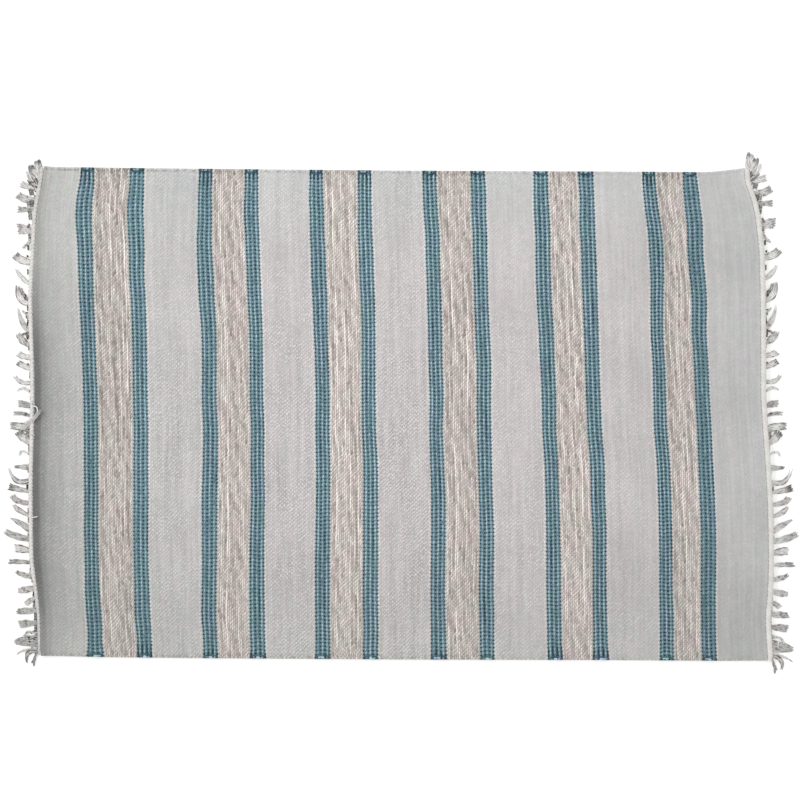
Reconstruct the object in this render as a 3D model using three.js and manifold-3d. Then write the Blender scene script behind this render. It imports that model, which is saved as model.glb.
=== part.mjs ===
// A flat-woven rug lying flat: one striped cloth, and at each end a cord with a row of warp tassels.
// Millimetres. +X runs along the rug, +Y across it, +Z up, and the origin is on the floor under the middle.
import * as THREE from 'three';
import { mergeVertices } from 'three/addons/utils/BufferGeometryUtils.js';
import Module from 'manifold-3d';

const wasm = await Module();
wasm.setup();

// Driving sizes
const clothLength = 890;
const clothWidth = 594;
const clothThickness = 4;
const selvedgeRounding = 1.2;
const ribsPerBand = 3;
const ribHeight = 0.6;
const ribValley = 0.15;
const curlReach = 42;
const seamGap = 0.35;
const cordWidth = 4.6;
const cordHeight = 4.8;
const cordStep = 13;
const cordLump = 0.07;
const cordEndInset = 1;
const cordTipScale = 0.7;
const strandHalfWidth = 1.1;
const strandHeight = 1.7;
const strandPitch = 2.65;
const rootPitch = 2.55;
const rootDepth = 0.32;
const rootRise = 1.2;
const bendAlong = 0.5;
const bendAcross = 0.06;

// The cord's section: shares of its width outwards from the cloth, and of its height, flat beside the cloth
const cordSection = [
  { out: 0, up: 0.12 },
  { out: 0.62, up: 0 },
  { out: 1, up: 0.42 },
  { out: 0.78, up: 0.84 },
  { out: 0.36, up: 1 },
  { out: 0, up: 0.8 },
];

// A strand's rings from root to tip: share of its length, size, pitch to the next strand, and how far it
// has opened or closed by then
const strandSteps = [
  { share: 0, size: 1, pitch: rootPitch, opened: 0 },
  { share: 0.38, size: 1, pitch: strandPitch, opened: 0 },
  { share: 0.7, size: 0.85, pitch: strandPitch, opened: 0.25 },
  { share: 1, size: 0.36, pitch: strandPitch, opened: 1 },
];

// Woven bands from left to right: the place of each band's middle along the rug, and its width
const bands = [
  { at: -380.7, width: 16.4 },
  { at: -319.4, width: 17.2 },
  { at: -236.4, width: 16.8 },
  { at: -178.2, width: 15.4 },
  { at: -99.3, width: 15.8 },
  { at: -41.1, width: 15.8 },
  { at: 40.2, width: 15.7 },
  { at: 98.7, width: 16.1 },
  { at: 177.6, width: 15.9 },
  { at: 232.9, width: 16.1 },
  { at: 313.5, width: 14.8 },
  { at: 364.8, width: 16.6 },
];

// How far the picks are drawn along the rug at each height: at the two ends, and at four places between
const drift = [
  { across: 297, leftEnd: 11.9, left: -3.4, midLeft: -4.4, midRight: -7.8, right: -13.8, rightEnd: -27.9 },
  { across: 284, leftEnd: 10.9, left: -4.0, midLeft: -4.4, midRight: -7.2, right: -12.8, rightEnd: -27.5 },
  { across: 256, leftEnd: 2.4, left: -5.3, midLeft: -4.3, midRight: -6.4, right: -11.0, rightEnd: -17.4 },
  { across: 225, leftEnd: 0.6, left: -6.4, midLeft: -4.2, midRight: -5.7, right: -9.4, rightEnd: -14.8 },
  { across: 190, leftEnd: -1.6, left: -5.0, midLeft: -2.8, midRight: -4.8, right: -7.0, rightEnd: -11.0 },
  { across: 150, leftEnd: -2.4, left: -3.5, midLeft: -1.3, midRight: -3.9, right: -4.6, rightEnd: -8.0 },
  { across: 75, leftEnd: -2.4, left: -0.5, midLeft: 1.4, midRight: -1.0, right: -3.3, rightEnd: -6.0 },
  { across: 0, leftEnd: -2.6, left: 1.5, midLeft: 1.8, midRight: -0.4, right: 0.7, rightEnd: -3.7 },
  { across: -60, leftEnd: -4.3, left: 1.5, midLeft: 2.4, midRight: 2.2, right: 4.0, rightEnd: 1.0 },
  { across: -110, leftEnd: -4.8, left: 1.5, midLeft: 2.2, midRight: 3.7, right: 6.2, rightEnd: 4.2 },
  { across: -160, leftEnd: -2.4, left: 1.7, midLeft: 1.5, midRight: 4.7, right: 7.8, rightEnd: 4.2 },
  { across: -200, leftEnd: 1.9, left: 2.9, midLeft: 0.9, midRight: 4.5, right: 7.6, rightEnd: 3.0 },
  { across: -225, leftEnd: 5.4, left: 3.6, midLeft: 0.5, midRight: 4.5, right: 7.6, rightEnd: -1.5 },
  { across: -250, leftEnd: 7.3, left: 5.0, midLeft: 0.6, midRight: 5.2, right: 8.2, rightEnd: -2.5 },
  { across: -297, leftEnd: 7.3, left: 7.8, midLeft: 0.8, midRight: 6.7, right: 9.4, rightEnd: 1.8 },
];

// How high the last picks lift off the floor at each end
const curls = [
  { across: 297, left: 1, right: 1 },
  { across: 190, left: 2, right: 1.2 },
  { across: 75, left: 3.5, right: 2 },
  { across: -60, left: 6, right: 2.5 },
  { across: -160, left: 5.5, right: 2.5 },
  { across: -225, left: 4, right: 2 },
  { across: -297, left: 2, right: 1 },
];
const driftPlaces = [
  { at: -clothLength / 2, column: 'leftEnd' },
  { at: -380, column: 'left' },
  { at: -130, column: 'midLeft' },
  { at: 130, column: 'midRight' },
  { at: 380, column: 'right' },
  { at: clothLength / 2, column: 'rightEnd' },
];

// The two long selvedges, with the corners drawn out into short ears: offsets from half the width
const selvedges = [
  { along: -445, top: 5.6, bottom: -3.4 },
  { along: -428, top: 3.4, bottom: -3.2 },
  { along: -366, top: 2.7, bottom: -1.6 },
  { along: -244, top: 1.3, bottom: -0.3 },
  { along: 0, top: -0.8, bottom: 1.3 },
  { along: 242, top: -1.8, bottom: 2.0 },
  { along: 372, top: -2.7, bottom: 2.8 },
  { along: 394, top: -0.7, bottom: 2.9 },
  { along: 408, top: 1.0, bottom: 2.8 },
  { along: 430, top: 3.4, bottom: 2.6 },
];

// Tassels from the top corner down: where each leaves the cord, how far its tip reaches past the cord,
// how far the tip lies towards +Y, its strands, and how much they open (over 1) or close at the tips
const tassels = [
  { at: 292.5, reach: 3, lean: 17, strands: 2, open: 0.7 },
  { at: 283.5, reach: 14.5, lean: 20, strands: 3, open: 0.6 },
  { at: 271, reach: 21, lean: 11, strands: 2, open: 0.5 },
  { at: 262, reach: 21.5, lean: 5, strands: 2, open: 0.8 },
  { at: 251.5, reach: 20.5, lean: -2, strands: 2, open: 0.9 },
  { at: 226.5, reach: 18.5, lean: -1, strands: 4, open: 1.0 },
  { at: 212, reach: 12, lean: -10, strands: 2, open: 0.5 },
  { at: 184.5, reach: 20, lean: 9.5, strands: 3, open: 0.45 },
  { at: 160.5, reach: 16.5, lean: 15.5, strands: 2, open: 0.7 },
  { at: 142, reach: 15, lean: 7, strands: 4, open: 0.9 },
  { at: 105, reach: 14.5, lean: 22, strands: 3, open: 0.6 },
  { at: 88.5, reach: 16, lean: 9.5, strands: 2, open: 0.8 },
  { at: 71.5, reach: 15, lean: 1.5, strands: 3, open: 0.9 },
  { at: 53.5, reach: 16.5, lean: 9.5, strands: 2, open: 0.6 },
  { at: 39, reach: 19, lean: 7, strands: 2, open: 0.5 },
  { at: 28, reach: 16, lean: -1, strands: 1, open: 1 },
  { at: 12.5, reach: 14.5, lean: 0.5, strands: 3, open: 1.0 },
  { at: 1, reach: 20, lean: -1, strands: 2, open: 0.6 },
  { at: -13, reach: 23, lean: -1.5, strands: 4, open: 0.7 },
  { at: -32, reach: 13.5, lean: 9, strands: 2, open: 0.7 },
  { at: -47.5, reach: 11.5, lean: -1, strands: 1, open: 1 },
  { at: -63, reach: 18.5, lean: -1, strands: 2, open: 0.45 },
  { at: -81, reach: 24, lean: 13.5, strands: 2, open: 0.45 },
  { at: -92.5, reach: 24.5, lean: 2.5, strands: 3, open: 0.5 },
  { at: -106.5, reach: 19.5, lean: 5, strands: 3, open: 0.8 },
  { at: -121, reach: 18.5, lean: 9, strands: 3, open: 0.5 },
  { at: -140, reach: 23.5, lean: 13, strands: 3, open: 0.45 },
  { at: -153, reach: 30.5, lean: 10.5, strands: 4, open: 0.5 },
  { at: -166, reach: 19.5, lean: 3, strands: 4, open: 0.9 },
  { at: -180, reach: 28, lean: 1, strands: 2, open: 0.8 },
  { at: -198.5, reach: 22, lean: 7.5, strands: 3, open: 0.6 },
  { at: -211.5, reach: 21.5, lean: -2.5, strands: 3, open: 0.9 },
  { at: -223.5, reach: 13.5, lean: -5, strands: 2, open: 0.9 },
  { at: -237, reach: 25.5, lean: -2, strands: 3, open: 0.8 },
  { at: -253.5, reach: 23.5, lean: -3, strands: 4, open: 1.1 },
  { at: -270.5, reach: 29.5, lean: -2, strands: 4, open: 0.7 },
  { at: -281, reach: 27, lean: -10, strands: 2, open: 0.6 },
  { at: -286.8, reach: 14.5, lean: -16, strands: 2, open: 0.5 },
  { at: -291.8, reach: 6, lean: -16, strands: 1, open: 1 },
];

// Places along the rug where the cloth's faces turn: the end curls, and the ribs of each band
const curlSteps = [0, 5, 12, 25, curlReach];
const lastCurlStep = curlSteps.length - 1;

function stationsAlongRug() {
  const leftEnd = curlSteps.map((step) => ({ at: step - clothLength / 2, rise: 0 }));
  const rightEnd = curlSteps.map((step) => ({ at: clothLength / 2 - step, rise: 0 })).reverse();
  const ribs = bands.flatMap((band) => {
    const folds = 2 * ribsPerBand;
    return Array.from({ length: folds + 1 }, (_, fold) => {
      const between = fold % 2 === 1 ? ribHeight : ribValley;
      const outermost = fold === 0 || fold === folds;
      return { at: band.at + band.width * (fold / folds - 0.5), rise: outermost ? 0 : between };
    });
  });
  return [...leftEnd, ...ribs, ...rightEnd];
}

// Heights across the rug: one for each row of the drift table, and one where each selvedge starts to round
function rowsAcrossRug() {
  const rows = drift.map((row) => row.across);
  const edge = rows[0];
  return [edge, edge - 2 * selvedgeRounding, ...rows.slice(1, -1), 2 * selvedgeRounding - edge, -edge];
}

// The value of a table's column between the two rows that hold the place
function tableAt(rows, key, place, column) {
  const rising = rows[rows.length - 1][key] > rows[0][key];
  const last = rows.length - 2;
  const found = rows.findIndex((_, i) => i > 0 && (rising ? rows[i][key] >= place : rows[i][key] <= place));
  const i = found < 0 ? last : found - 1;
  const share = (place - rows[i][key]) / (rows[i + 1][key] - rows[i][key]);
  const from = rows[i][column];
  return from + (rows[i + 1][column] - from) * THREE.MathUtils.clamp(share, 0, 1);
}

function driftAt(along, across) {
  const found = driftPlaces.findIndex((place, i) => i > 0 && place.at >= along);
  const i = found < 0 ? driftPlaces.length - 2 : found - 1;
  const share = (along - driftPlaces[i].at) / (driftPlaces[i + 1].at - driftPlaces[i].at);
  const before = tableAt(drift, 'across', across, driftPlaces[i].column);
  const after = tableAt(drift, 'across', across, driftPlaces[i + 1].column);
  return THREE.MathUtils.lerp(before, after, share);
}

// A place on the loom, where the rug is a true rectangle, to where the woven cloth lies
function layOut(along, across) {
  const x = along + driftAt(along, across);
  const stretch = tableAt(selvedges, 'along', x, across > 0 ? 'top' : 'bottom');
  return new THREE.Vector2(x, across * (1 + (2 * stretch) / clothWidth));
}

function liftAt(along, across) {
  const toEnd = clothLength / 2 - Math.abs(along);
  const bend = Math.max(0, 1 - toEnd / curlReach);
  return bend * bend * tableAt(curls, 'across', across, along < 0 ? 'left' : 'right');
}

function closedSolid(points, triangles) {
  const geometry = new THREE.BufferGeometry();
  const position = new Float32Array(points.flatMap((point) => [point.x, point.y, point.z]));
  geometry.setAttribute('position', new THREE.BufferAttribute(position, 3));
  geometry.setIndex(triangles);
  const merged = mergeVertices(geometry.toNonIndexed());
  return new wasm.Manifold(new wasm.Mesh({
    numProp: 3,
    vertProperties: merged.attributes.position.array,
    triVerts: new Uint32Array(merged.index.array),
  }));
}

function meshOf(name, solid, material) {
  const { vertProperties, triVerts } = solid.getMesh();
  const geometry = new THREE.BufferGeometry();
  geometry.setAttribute('position', new THREE.BufferAttribute(vertProperties, 3));
  geometry.setIndex(new THREE.BufferAttribute(triVerts, 1));
  geometry.computeVertexNormals();
  const mesh = new THREE.Mesh(geometry, material);
  mesh.name = name;
  return mesh;
}

// The cloth: a ribbed top, walls all round, and an underside that is one flat face between the end curls
function wovenCloth() {
  const stations = stationsAlongRug();
  const rows = rowsAcrossRug();
  const lastStation = stations.length - 1;
  const lastRow = rows.length - 1;
  const layer = stations.length * rows.length;
  const points = [];
  const triangles = [];
  const top = (i, j) => j * stations.length + i;
  const under = (i, j) => layer + top(i, j);
  const quad = (a, b, c, d) => triangles.push(a, b, c, a, c, d);

  const surface = (heightAt) => rows.forEach((across, j) => stations.forEach(({ at, rise }) => {
    const place = layOut(at, across);
    const onSelvedge = j === 0 || j === lastRow;
    points.push(new THREE.Vector3(place.x, place.y, liftAt(at, across) + heightAt(rise, onSelvedge)));
  }));
  surface((rise, onSelvedge) => clothThickness + (onSelvedge ? -selvedgeRounding : rise));
  surface(() => 0);

  for (let j = 0; j < lastRow; j += 1) {
    for (let i = 0; i < lastStation; i += 1) {
      quad(top(i, j), top(i, j + 1), top(i + 1, j + 1), top(i + 1, j));
      if (i < lastCurlStep || i >= lastStation - lastCurlStep) {
        quad(under(i, j), under(i + 1, j), under(i + 1, j + 1), under(i, j + 1));
      }
    }
    quad(top(0, j), under(0, j), under(0, j + 1), top(0, j + 1));
    quad(top(lastStation, j), top(lastStation, j + 1), under(lastStation, j + 1), under(lastStation, j));
  }
  for (let i = 0; i < lastStation; i += 1) {
    quad(top(i, 0), top(i + 1, 0), under(i + 1, 0), under(i, 0));
    quad(top(i, lastRow), under(i, lastRow), under(i + 1, lastRow), top(i + 1, lastRow));
  }

  const first = lastCurlStep;
  const last = lastStation - lastCurlStep;
  const acrossFlat = Array.from({ length: last - first }, (_, i) => i);
  const downFlat = Array.from({ length: lastRow }, (_, j) => j);
  const rim = [
    ...acrossFlat.map((i) => under(first + i, 0)),
    ...downFlat.map((j) => under(last, j)),
    ...acrossFlat.map((i) => under(last - i, lastRow)),
    ...downFlat.map((j) => under(first, lastRow - j)),
  ];
  const outline = rim.map((index) => new THREE.Vector2(points[index].x, points[index].y));
  for (const [a, b, c] of THREE.ShapeUtils.triangulateShape(outline, [])) {
    triangles.push(rim[c], rim[b], rim[a]);
  }
  return closedSolid(points, triangles);
}

// A solid through rings of points that run anticlockwise when seen from the far end, closed at both ends
function loft(rings) {
  const sides = rings[0].length;
  const triangles = [];
  for (let r = 0; r < rings.length - 1; r += 1) {
    for (let k = 0; k < sides; k += 1) {
      const near = r * sides;
      const far = near + sides;
      const next = (k + 1) % sides;
      triangles.push(near + k, near + next, far + next, near + k, far + next, far + k);
    }
  }
  const end = (rings.length - 1) * sides;
  for (let k = 1; k < sides - 1; k += 1) {
    triangles.push(0, k + 1, k, end, end + k, end + k + 1);
  }
  return closedSolid(rings.flat(), triangles);
}

// A place beyond the cloth's end: side is -1 on the left and 1 on the right
function beyondEnd(side, across, out, up) {
  const end = (side * clothLength) / 2;
  const place = layOut(end, across);
  return new THREE.Vector3(place.x + side * out, place.y, liftAt(end, across) + up);
}

// Heights of the cord's rings, with one at each row of the drift table, where the cloth's end turns
function ringsAlongCord() {
  const inset = clothWidth / 2 - cordEndInset;
  const rows = drift.map((row) => THREE.MathUtils.clamp(row.across, -inset, inset)).reverse();
  const heights = rows.slice(1).flatMap((row, i) => {
    const count = Math.max(1, Math.round((row - rows[i]) / cordStep));
    return Array.from({ length: count }, (_, step) => THREE.MathUtils.lerp(rows[i], row, step / count));
  });
  return [...heights, inset];
}

// The twined cord along the cloth's end, slightly fatter at every second ring
function endCord(side) {
  const heights = ringsAlongCord();
  const rings = heights.map((across, i) => {
    const atTip = i === 0 || i === heights.length - 1;
    const swell = atTip ? cordTipScale : 1 + (i % 2 === 0 ? cordLump : -cordLump);
    const ring = cordSection.map(({ out, up }) => beyondEnd(
      side,
      across,
      seamGap + out * cordWidth * swell,
      cordHeight * (0.5 + (up - 0.5) * swell),
    ));
    return side > 0 ? ring.reverse() : ring;
  });
  return loft(rings);
}

// One strand: three-sided, leaving the cord and then lying level on the floor
function strand(side, tassel, offset) {
  const root = beyondEnd(side, tassel.at, seamGap + cordWidth * rootDepth, rootRise);
  const tip = beyondEnd(side, tassel.at, seamGap + cordWidth + tassel.reach, 0);
  tip.y += tassel.lean;
  const bend = new THREE.Vector2(
    THREE.MathUtils.lerp(root.x, tip.x, bendAlong),
    THREE.MathUtils.lerp(root.y, tip.y, bendAcross),
  );
  const route = new THREE.QuadraticBezierCurve(root, bend, tip);
  const rings = strandSteps.map(({ share, size, pitch, opened }) => {
    const centre = route.getPoint(share);
    const ahead = route.getTangent(share);
    const sideways = new THREE.Vector2(-ahead.y, ahead.x);
    const base = share === 0 ? root.z : 0;
    const at = (across, up) => {
      const place = centre.clone().addScaledVector(sideways, across);
      return new THREE.Vector3(place.x, place.y, base + up);
    };
    const middle = offset * pitch * THREE.MathUtils.lerp(1, tassel.open, opened);
    const half = strandHalfWidth * size;
    return [at(middle + half, 0), at(middle, strandHeight * size), at(middle - half, 0)];
  });
  return loft(rings);
}

// The cord with every tassel's strands fused to it at their roots
function fringe(side) {
  const strands = tassels.flatMap((tassel) => {
    const middle = (tassel.strands - 1) / 2;
    return Array.from({ length: tassel.strands }, (_, i) => strand(side, tassel, i - middle));
  });
  return strands.reduce((whole, one) => whole.add(one), endCord(side));
}

const clothYarn = new THREE.MeshStandardMaterial({ color: 0xc6c3c2, roughness: 0.95, metalness: 0 });
const warpYarn = new THREE.MeshStandardMaterial({ color: 0xd8d6d2, roughness: 0.95, metalness: 0 });

const rug = new THREE.Group();
rug.add(meshOf('woven_cloth', wovenCloth(), clothYarn));
rug.add(meshOf('fringe_left', fringe(-1), warpYarn));
rug.add(meshOf('fringe_right', fringe(1), warpYarn));

export default rug;
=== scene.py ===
import math

import bmesh
import bpy
import numpy as np
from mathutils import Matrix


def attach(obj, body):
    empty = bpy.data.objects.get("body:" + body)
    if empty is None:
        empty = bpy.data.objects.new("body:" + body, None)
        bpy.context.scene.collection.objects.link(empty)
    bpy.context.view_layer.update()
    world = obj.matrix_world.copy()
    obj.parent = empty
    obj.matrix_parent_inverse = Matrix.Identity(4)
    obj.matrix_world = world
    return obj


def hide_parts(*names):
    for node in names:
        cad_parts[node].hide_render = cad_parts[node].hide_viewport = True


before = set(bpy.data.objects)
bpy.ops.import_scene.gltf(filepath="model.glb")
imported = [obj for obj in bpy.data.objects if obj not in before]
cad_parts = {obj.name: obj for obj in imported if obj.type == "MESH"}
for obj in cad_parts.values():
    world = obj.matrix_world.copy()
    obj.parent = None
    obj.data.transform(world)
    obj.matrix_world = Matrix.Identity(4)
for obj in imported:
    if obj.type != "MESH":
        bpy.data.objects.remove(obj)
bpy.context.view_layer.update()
scene = bpy.context.scene
scene.view_settings.view_transform = "Standard"
mm = 0.001  # the tables below are in millimetres
chance = np.random.default_rng(7)  # every uneven size, place and tone draws from this

# The cloth on the loom, a true rectangle: along runs from end to end, across from edge to edge
loom = {
    "length": 890,
    "width": 594,
    "thickness": 4,
    "warpPitch": 2.31,
    "groundPitch": 2.52,
    "stripePitch": 2.45,
    "bandPicks": 7,
    "sunk": 0.5,  # how far the cloth lies lower under raised picks
    "waves": 0.12,  # left from when the rug was rolled up
}

# Teal bands from left to right, two to each stripe
bands = [
    {"at": -380.7, "width": 16.4},
    {"at": -319.4, "width": 17.2},
    {"at": -236.4, "width": 16.8},
    {"at": -178.2, "width": 15.4},
    {"at": -99.3, "width": 15.8},
    {"at": -41.1, "width": 15.8, "tone": 0.1},
    {"at": 40.2, "width": 15.7},
    {"at": 98.7, "width": 16.1},
    {"at": 177.6, "width": 15.9},
    {"at": 232.9, "width": 16.1},
    {"at": 313.5, "width": 14.8},
    {"at": 364.8, "width": 16.6, "tone": -0.1},
]

# How far the cloth is drawn along the rug: for each height, its left end, its bands' middles, its right end
sway = [
    (-297, (6.5, 7.8, 7, 4, 3.5, 3, 3, 4.5, 5, 9, 9, 8.5, 9, -0.5)),
    (-290, (6.5, 9, 7, 4, 3, 3, 3, 4.5, 5, 8.5, 9, 8, 8.5, -1)),
    (-280, (6.5, 7.5, 6.5, 3.5, 3.5, 3, 2.5, 4, 4.5, 7.5, 8, 8, 8, -2)),
    (-265, (6.5, 8, 6, 3, 2.5, 3, 3.5, 4, 4.5, 7.5, 8, 8, 7.5, -3)),
    (-245, (6, 6.5, 4, 1.5, 2.5, 2.5, 3, 3.5, 4.5, 7, 7.5, 8, 7.5, -4)),
    (-215, (3, 4.5, 3.5, 2, 2, 2.5, 2.5, 3, 3.5, 6.5, 7, 7, 7, -1)),
    (-180, (-1.5, 4, 2.5, 2.5, 2, 2.5, 3, 3.5, 4, 6.5, 7, 7, 7.5, 0)),
    (-140, (-2, 3, 2, 2.5, 2.5, 3, 3, 4, 4.5, 6, 7, 6.5, 7.5, -0.5)),
    (-100, (-2.5, 3.5, 2.5, 2.5, 3.5, 3.5, 3, 4, 3, 5, 5, 5.5, 6, -1.5)),
    (-60, (-2, 3, 2, 3.5, 2.5, 3.5, 3, 2.5, 2, 4, 4.5, 4, 4, -4)),
    (-20, (-1, 3, 2.5, 4, 3, 2.5, 1, 1, 1, 1, 1, 0.5, 2.5, -7)),
    (20, (-0.5, 2.5, 1.5, 2, 1.5, 3, 0.5, 2, 0.5, 1, -0.5, -0.5, 0, -9.5)),
    (60, (-1, 1, 1, 2.5, 1.5, 2, 0.5, 0.5, 1, -1, -2, -1.5, -1.5, -9.5)),
    (100, (-2.5, -0.5, 0.5, 2, 1, 0.5, 0.5, 0, -1, -2.5, -3, -4, -4, -9.5)),
    (140, (-3.5, -2.5, -1, -1, -1, -0.5, -0.5, -1, -2.5, -5, -4.5, -4, -3.5, -10)),
    (170, (-2, -3.5, -3, -2, -2, -2, -2, -2, -3, -6, -5.5, -3.5, -6, -10.5)),
    (195, (-0.5, -4, -2.5, -3.5, -3, -2.5, -2.5, -3, -4, -6.5, -6, -4.5, -8.5, -11)),
    (215, (0.5, -5, -3.5, -4, -3.5, -3.5, -3.5, -3, -4, -6.5, -7, -5.5, -9, -13.5)),
    (230, (1, -6, -4, -3, -4.5, -4, -4, -4, -4.5, -7, -8, -7, -9, -15)),
    (245, (2.5, -6, -5, -3, -5, -4, -4, -5.5, -5.5, -8, -8, -9.5, -10.5, -17.5)),
    (260, (5, -5, -4, -3, -5, -5, -4, -6, -5.5, -8.5, -8, -11.5, -12.5, -21)),
    (272, (7.5, -2.8, -3, -3, -4.5, -5, -4.5, -6.5, -5.5, -9, -8.5, -12.5, -13.5, -26)),
    (284, (9.5, -1.2, -2.5, -2, -4.5, -5, -4, -7, -6.5, -9, -9.5, -13.5, -15, -29.5)),
    (297, (10.5, -1.4, -2, -2, -4.5, -5, -4.5, -7, -7, -9.5, -10, -14, -15.5, -29)),
]

# How much wider each band is than on the loom
widening = [
    (-297, (5.2, 0.6, 0.2, 3.4, 2.5, 1.8, 2.8, 0.6, 1.2, 3.4, 2, 0.6)),
    (-281, (0, -0.5, -0.5, 2, 1.4, 1.9, 2.5, 0.5, 1, 1.2, 1.2, 0.8)),
    (-250, (1.5, 1.5, 0.5, 2.5, 1, 2, 1.5, 1.5, 1, 0.5, 1.5, 0.5)),
    (-190, (0, 0, 0.5, 2, 1.5, 2, 1, 1.5, 1.5, 0, 0.5, 1.5)),
    (-110, (0, 0.5, 1.5, 1, 0.5, 1.5, 1.5, 0, 0, 1, 0.5, 1)),
    (-20, (0.5, 0, 0.5, 0.5, 0.5, 0.5, 0, 0.5, 0.5, 1, 0.5, 0.5)),
    (80, (0, 0, 0.5, 0, 0, 0, 1, 1, 1.5, 1, -0.5, 0.5)),
    (155, (1, 0.5, 2, 1, 2, 1, 1, 0.5, 2, 2, 0.5, 1.5)),
    (205, (1.5, 1.5, 1, 1, 1.5, 1.5, 1, 1, 1.5, 1.5, 2.5, 2)),
    (237, (3, 2.5, 0, 2, 1, 0.5, 1, 1, 2.5, 2.5, 1.5, 2.5)),
    (260, (2.6, 2, -0.5, 1.4, 1.2, -0.7, 1, 1.4, 1.6, 0.6, 0.6, 1.8)),
    (275, (1.8, 0, -1.1, 0.4, 0, 0.2, 0.8, 1.4, 0.9, 1.2, 1.2, 1.6)),
    (297, (-2.2, -0.8, -1.6, 0, -1.4, -1.2, 0.6, 0.4, 1, 2.2, -0.2, -0.8)),
]

# The long edges: how far each is drawn out from half the width
edges = {
    "places": [-445, -428, -366, -244, 0, 242, 372, 394, 408, 430],
    "top": [5.6, 3.3, 2.5, 1.0, -1.2, -2.3, -3.1, -1.0, 0.8, 3.4],
    "bottom": [-3.4, -3.2, -1.6, -0.3, 1.3, 2.0, 2.8, 2.9, 2.8, 2.6],
}

# How high the last picks curl off the floor at each end, and a steeper lip beside the cords
curl = {
    "reach": 42,
    "heights": [-297, -225, -160, -60, 75, 190, 297],
    "left": [2, 4, 5.5, 6, 3.5, 2, 1],
    "right": [1, 2, 2.5, 2.5, 2, 1.2, 1],
    "lipReach": 9,
    "leftLip": [0.5, 0.9, 1.2, 1.2, 0.9, 0.4, 0.2],
    "rightLip": [0.1, 0.2, 0.2, 0.2, 0.2, 0.1, 0.1],
}

# Painted shade and light on the cloth: darker beside the left cord, less so towards its top, then along the
# bottom edge, beside the right cord, and by the place along the rug
shade = {
    "fromLeft": [0, 6.5, 8.5, 14, 22, 38, 70, 110],
    "leftLight": [0.3, 0.33, 0.49, 0.61, 0.7, 0.81, 0.92, 1.0],
    "heights": [-297, -265, -230, -185, 85, 130, 180, 297],
    "leftShare": [0.6, 0.7, 0.88, 1.0, 1.0, 0.75, 0.5, 0.38],
    "fromBottom": [0, 60, 200, 594],
    "bottomLight": [0.87, 0.88, 0.98, 1.0],
    "fromRight": [0, 3, 60, 150],
    "rightLight": [1.0, 0.93, 0.955, 1.0],
    "fromCorner": [0, 10, 45],  # painted light: it is paler at the top right corner
    "cornerLight": [1.13, 1.1, 1.0],
    "along": [-445, -335, -276, -136, 137, 271, 335, 411, 445],
    "light": [1.01, 0.99, 0.967, 1.02, 1.02, 0.97, 0.965, 0.96, 0.96],
}


def smoothInterp(place, places, values, reach=8):
    # straight lines between a table's values, with the corners rounded off
    steps = (-1, -0.5, 0, 0.5, 1)
    return sum(np.interp(place + reach * step, places, values) for step in steps) / len(steps)


def columnOf(rows, number):
    # the heights of a table's rows, and one of its columns
    return [row[0] for row in rows], [row[1][number] for row in rows]


# Where the parts of the weave meet, end to end
bandEdges = [band["at"] + side * band["width"] / 2 for band in bands for side in (-1, 1)]
cuts = [-loom["length"] / 2] + bandEdges + [loom["length"] / 2]


def layOut(along, across):
    # from the loom to where the finished rug lies
    x = along
    for column, oneHot in enumerate(np.eye(len(cuts))):
        number = (column + 1) // 2  # 0 and the last are the ends; each band has two columns, its edges
        pulled = smoothInterp(across, *columnOf(sway, number))
        if 0 < number <= len(bands):
            side = 1 if column % 2 == 0 else -1
            pulled = pulled + side * smoothInterp(across, *columnOf(widening, number - 1)) / 2
        x = x + np.interp(along, cuts, oneHot) * pulled
    top = smoothInterp(x, edges["places"], edges["top"])
    bottom = smoothInterp(x, edges["places"], edges["bottom"])
    return x, across * (1 + 2 * np.where(across > 0, top, bottom) / loom["width"])


def liftAt(along, across):
    # how high the cloth's underside lies
    toEnd = np.maximum(loom["length"] / 2 - np.abs(along), 0)
    bend = np.maximum(0, 1 - toEnd / curl["reach"]) ** 2
    lip = np.maximum(0, 1 - toEnd / curl["lipReach"]) ** 2

    def end(side):
        whole = bend * smoothInterp(across, curl["heights"], curl[side])
        return whole + lip * smoothInterp(across, curl["heights"], curl[side + "Lip"])
    return np.where(along < 0, end("left"), end("right"))


def levelAt(along, across):
    # the ground's top face, with its slight waves: long ones, and shorter ones that are lower
    wave = np.sin(along / 61 + across / 140) * np.sin(across / 83 + 1.3)
    wave = wave + 0.6 * np.sin(along / 29 - across / 210 + 0.7)
    return liftAt(along, across) + loom["thickness"] + loom["waves"] * wave


def lightAt(along, across):
    # painted light and shade: how much of its colour the cloth keeps at a place
    half = loom["length"] / 2
    left = np.interp(along + half, shade["fromLeft"], shade["leftLight"])
    share = smoothInterp(across, shade["heights"], shade["leftShare"])
    bottom = np.interp(across + loom["width"] / 2, shade["fromBottom"], shade["bottomLight"])
    right = np.interp(half - along, shade["fromRight"], shade["rightLight"])
    toCorner = np.hypot(half - along, loom["width"] / 2 - across)
    corner = np.interp(toCorner, shade["fromCorner"], shade["cornerLight"])
    along = np.interp(along, shade["along"], shade["light"])
    return (1 - share * (1 - left)) * bottom * right * corner * along


def clothZones():
    # parts from left to right, each with its number of picks; every band starts on an even pick
    found, first = [], 0
    for number, (start, end) in enumerate(zip(cuts, cuts[1:])):
        kind = "band" if number % 2 else "stripe" if number % 4 == 2 else "ground"
        picks = loom["bandPicks"]
        if kind != "band":
            exact = (end - start) / loom[kind + "Pitch"]
            picks = int(exact + 0.5)
            if (first + picks) % 2:
                picks += 1 if exact > picks else -1
        found.append({"kind": kind, "start": start, "end": end, "first": first, "picks": picks})
        first += picks
    return found


def zonesOf(kind):
    return [zone for zone in zones if zone["kind"] == kind]


zones = clothZones()
cutPicks = [zone["first"] for zone in zones] + [zones[-1]["first"] + zones[-1]["picks"]]
print("loom: picks", cutPicks[-1], "warps", int(loom["width"] / loom["warpPitch"]))


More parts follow.
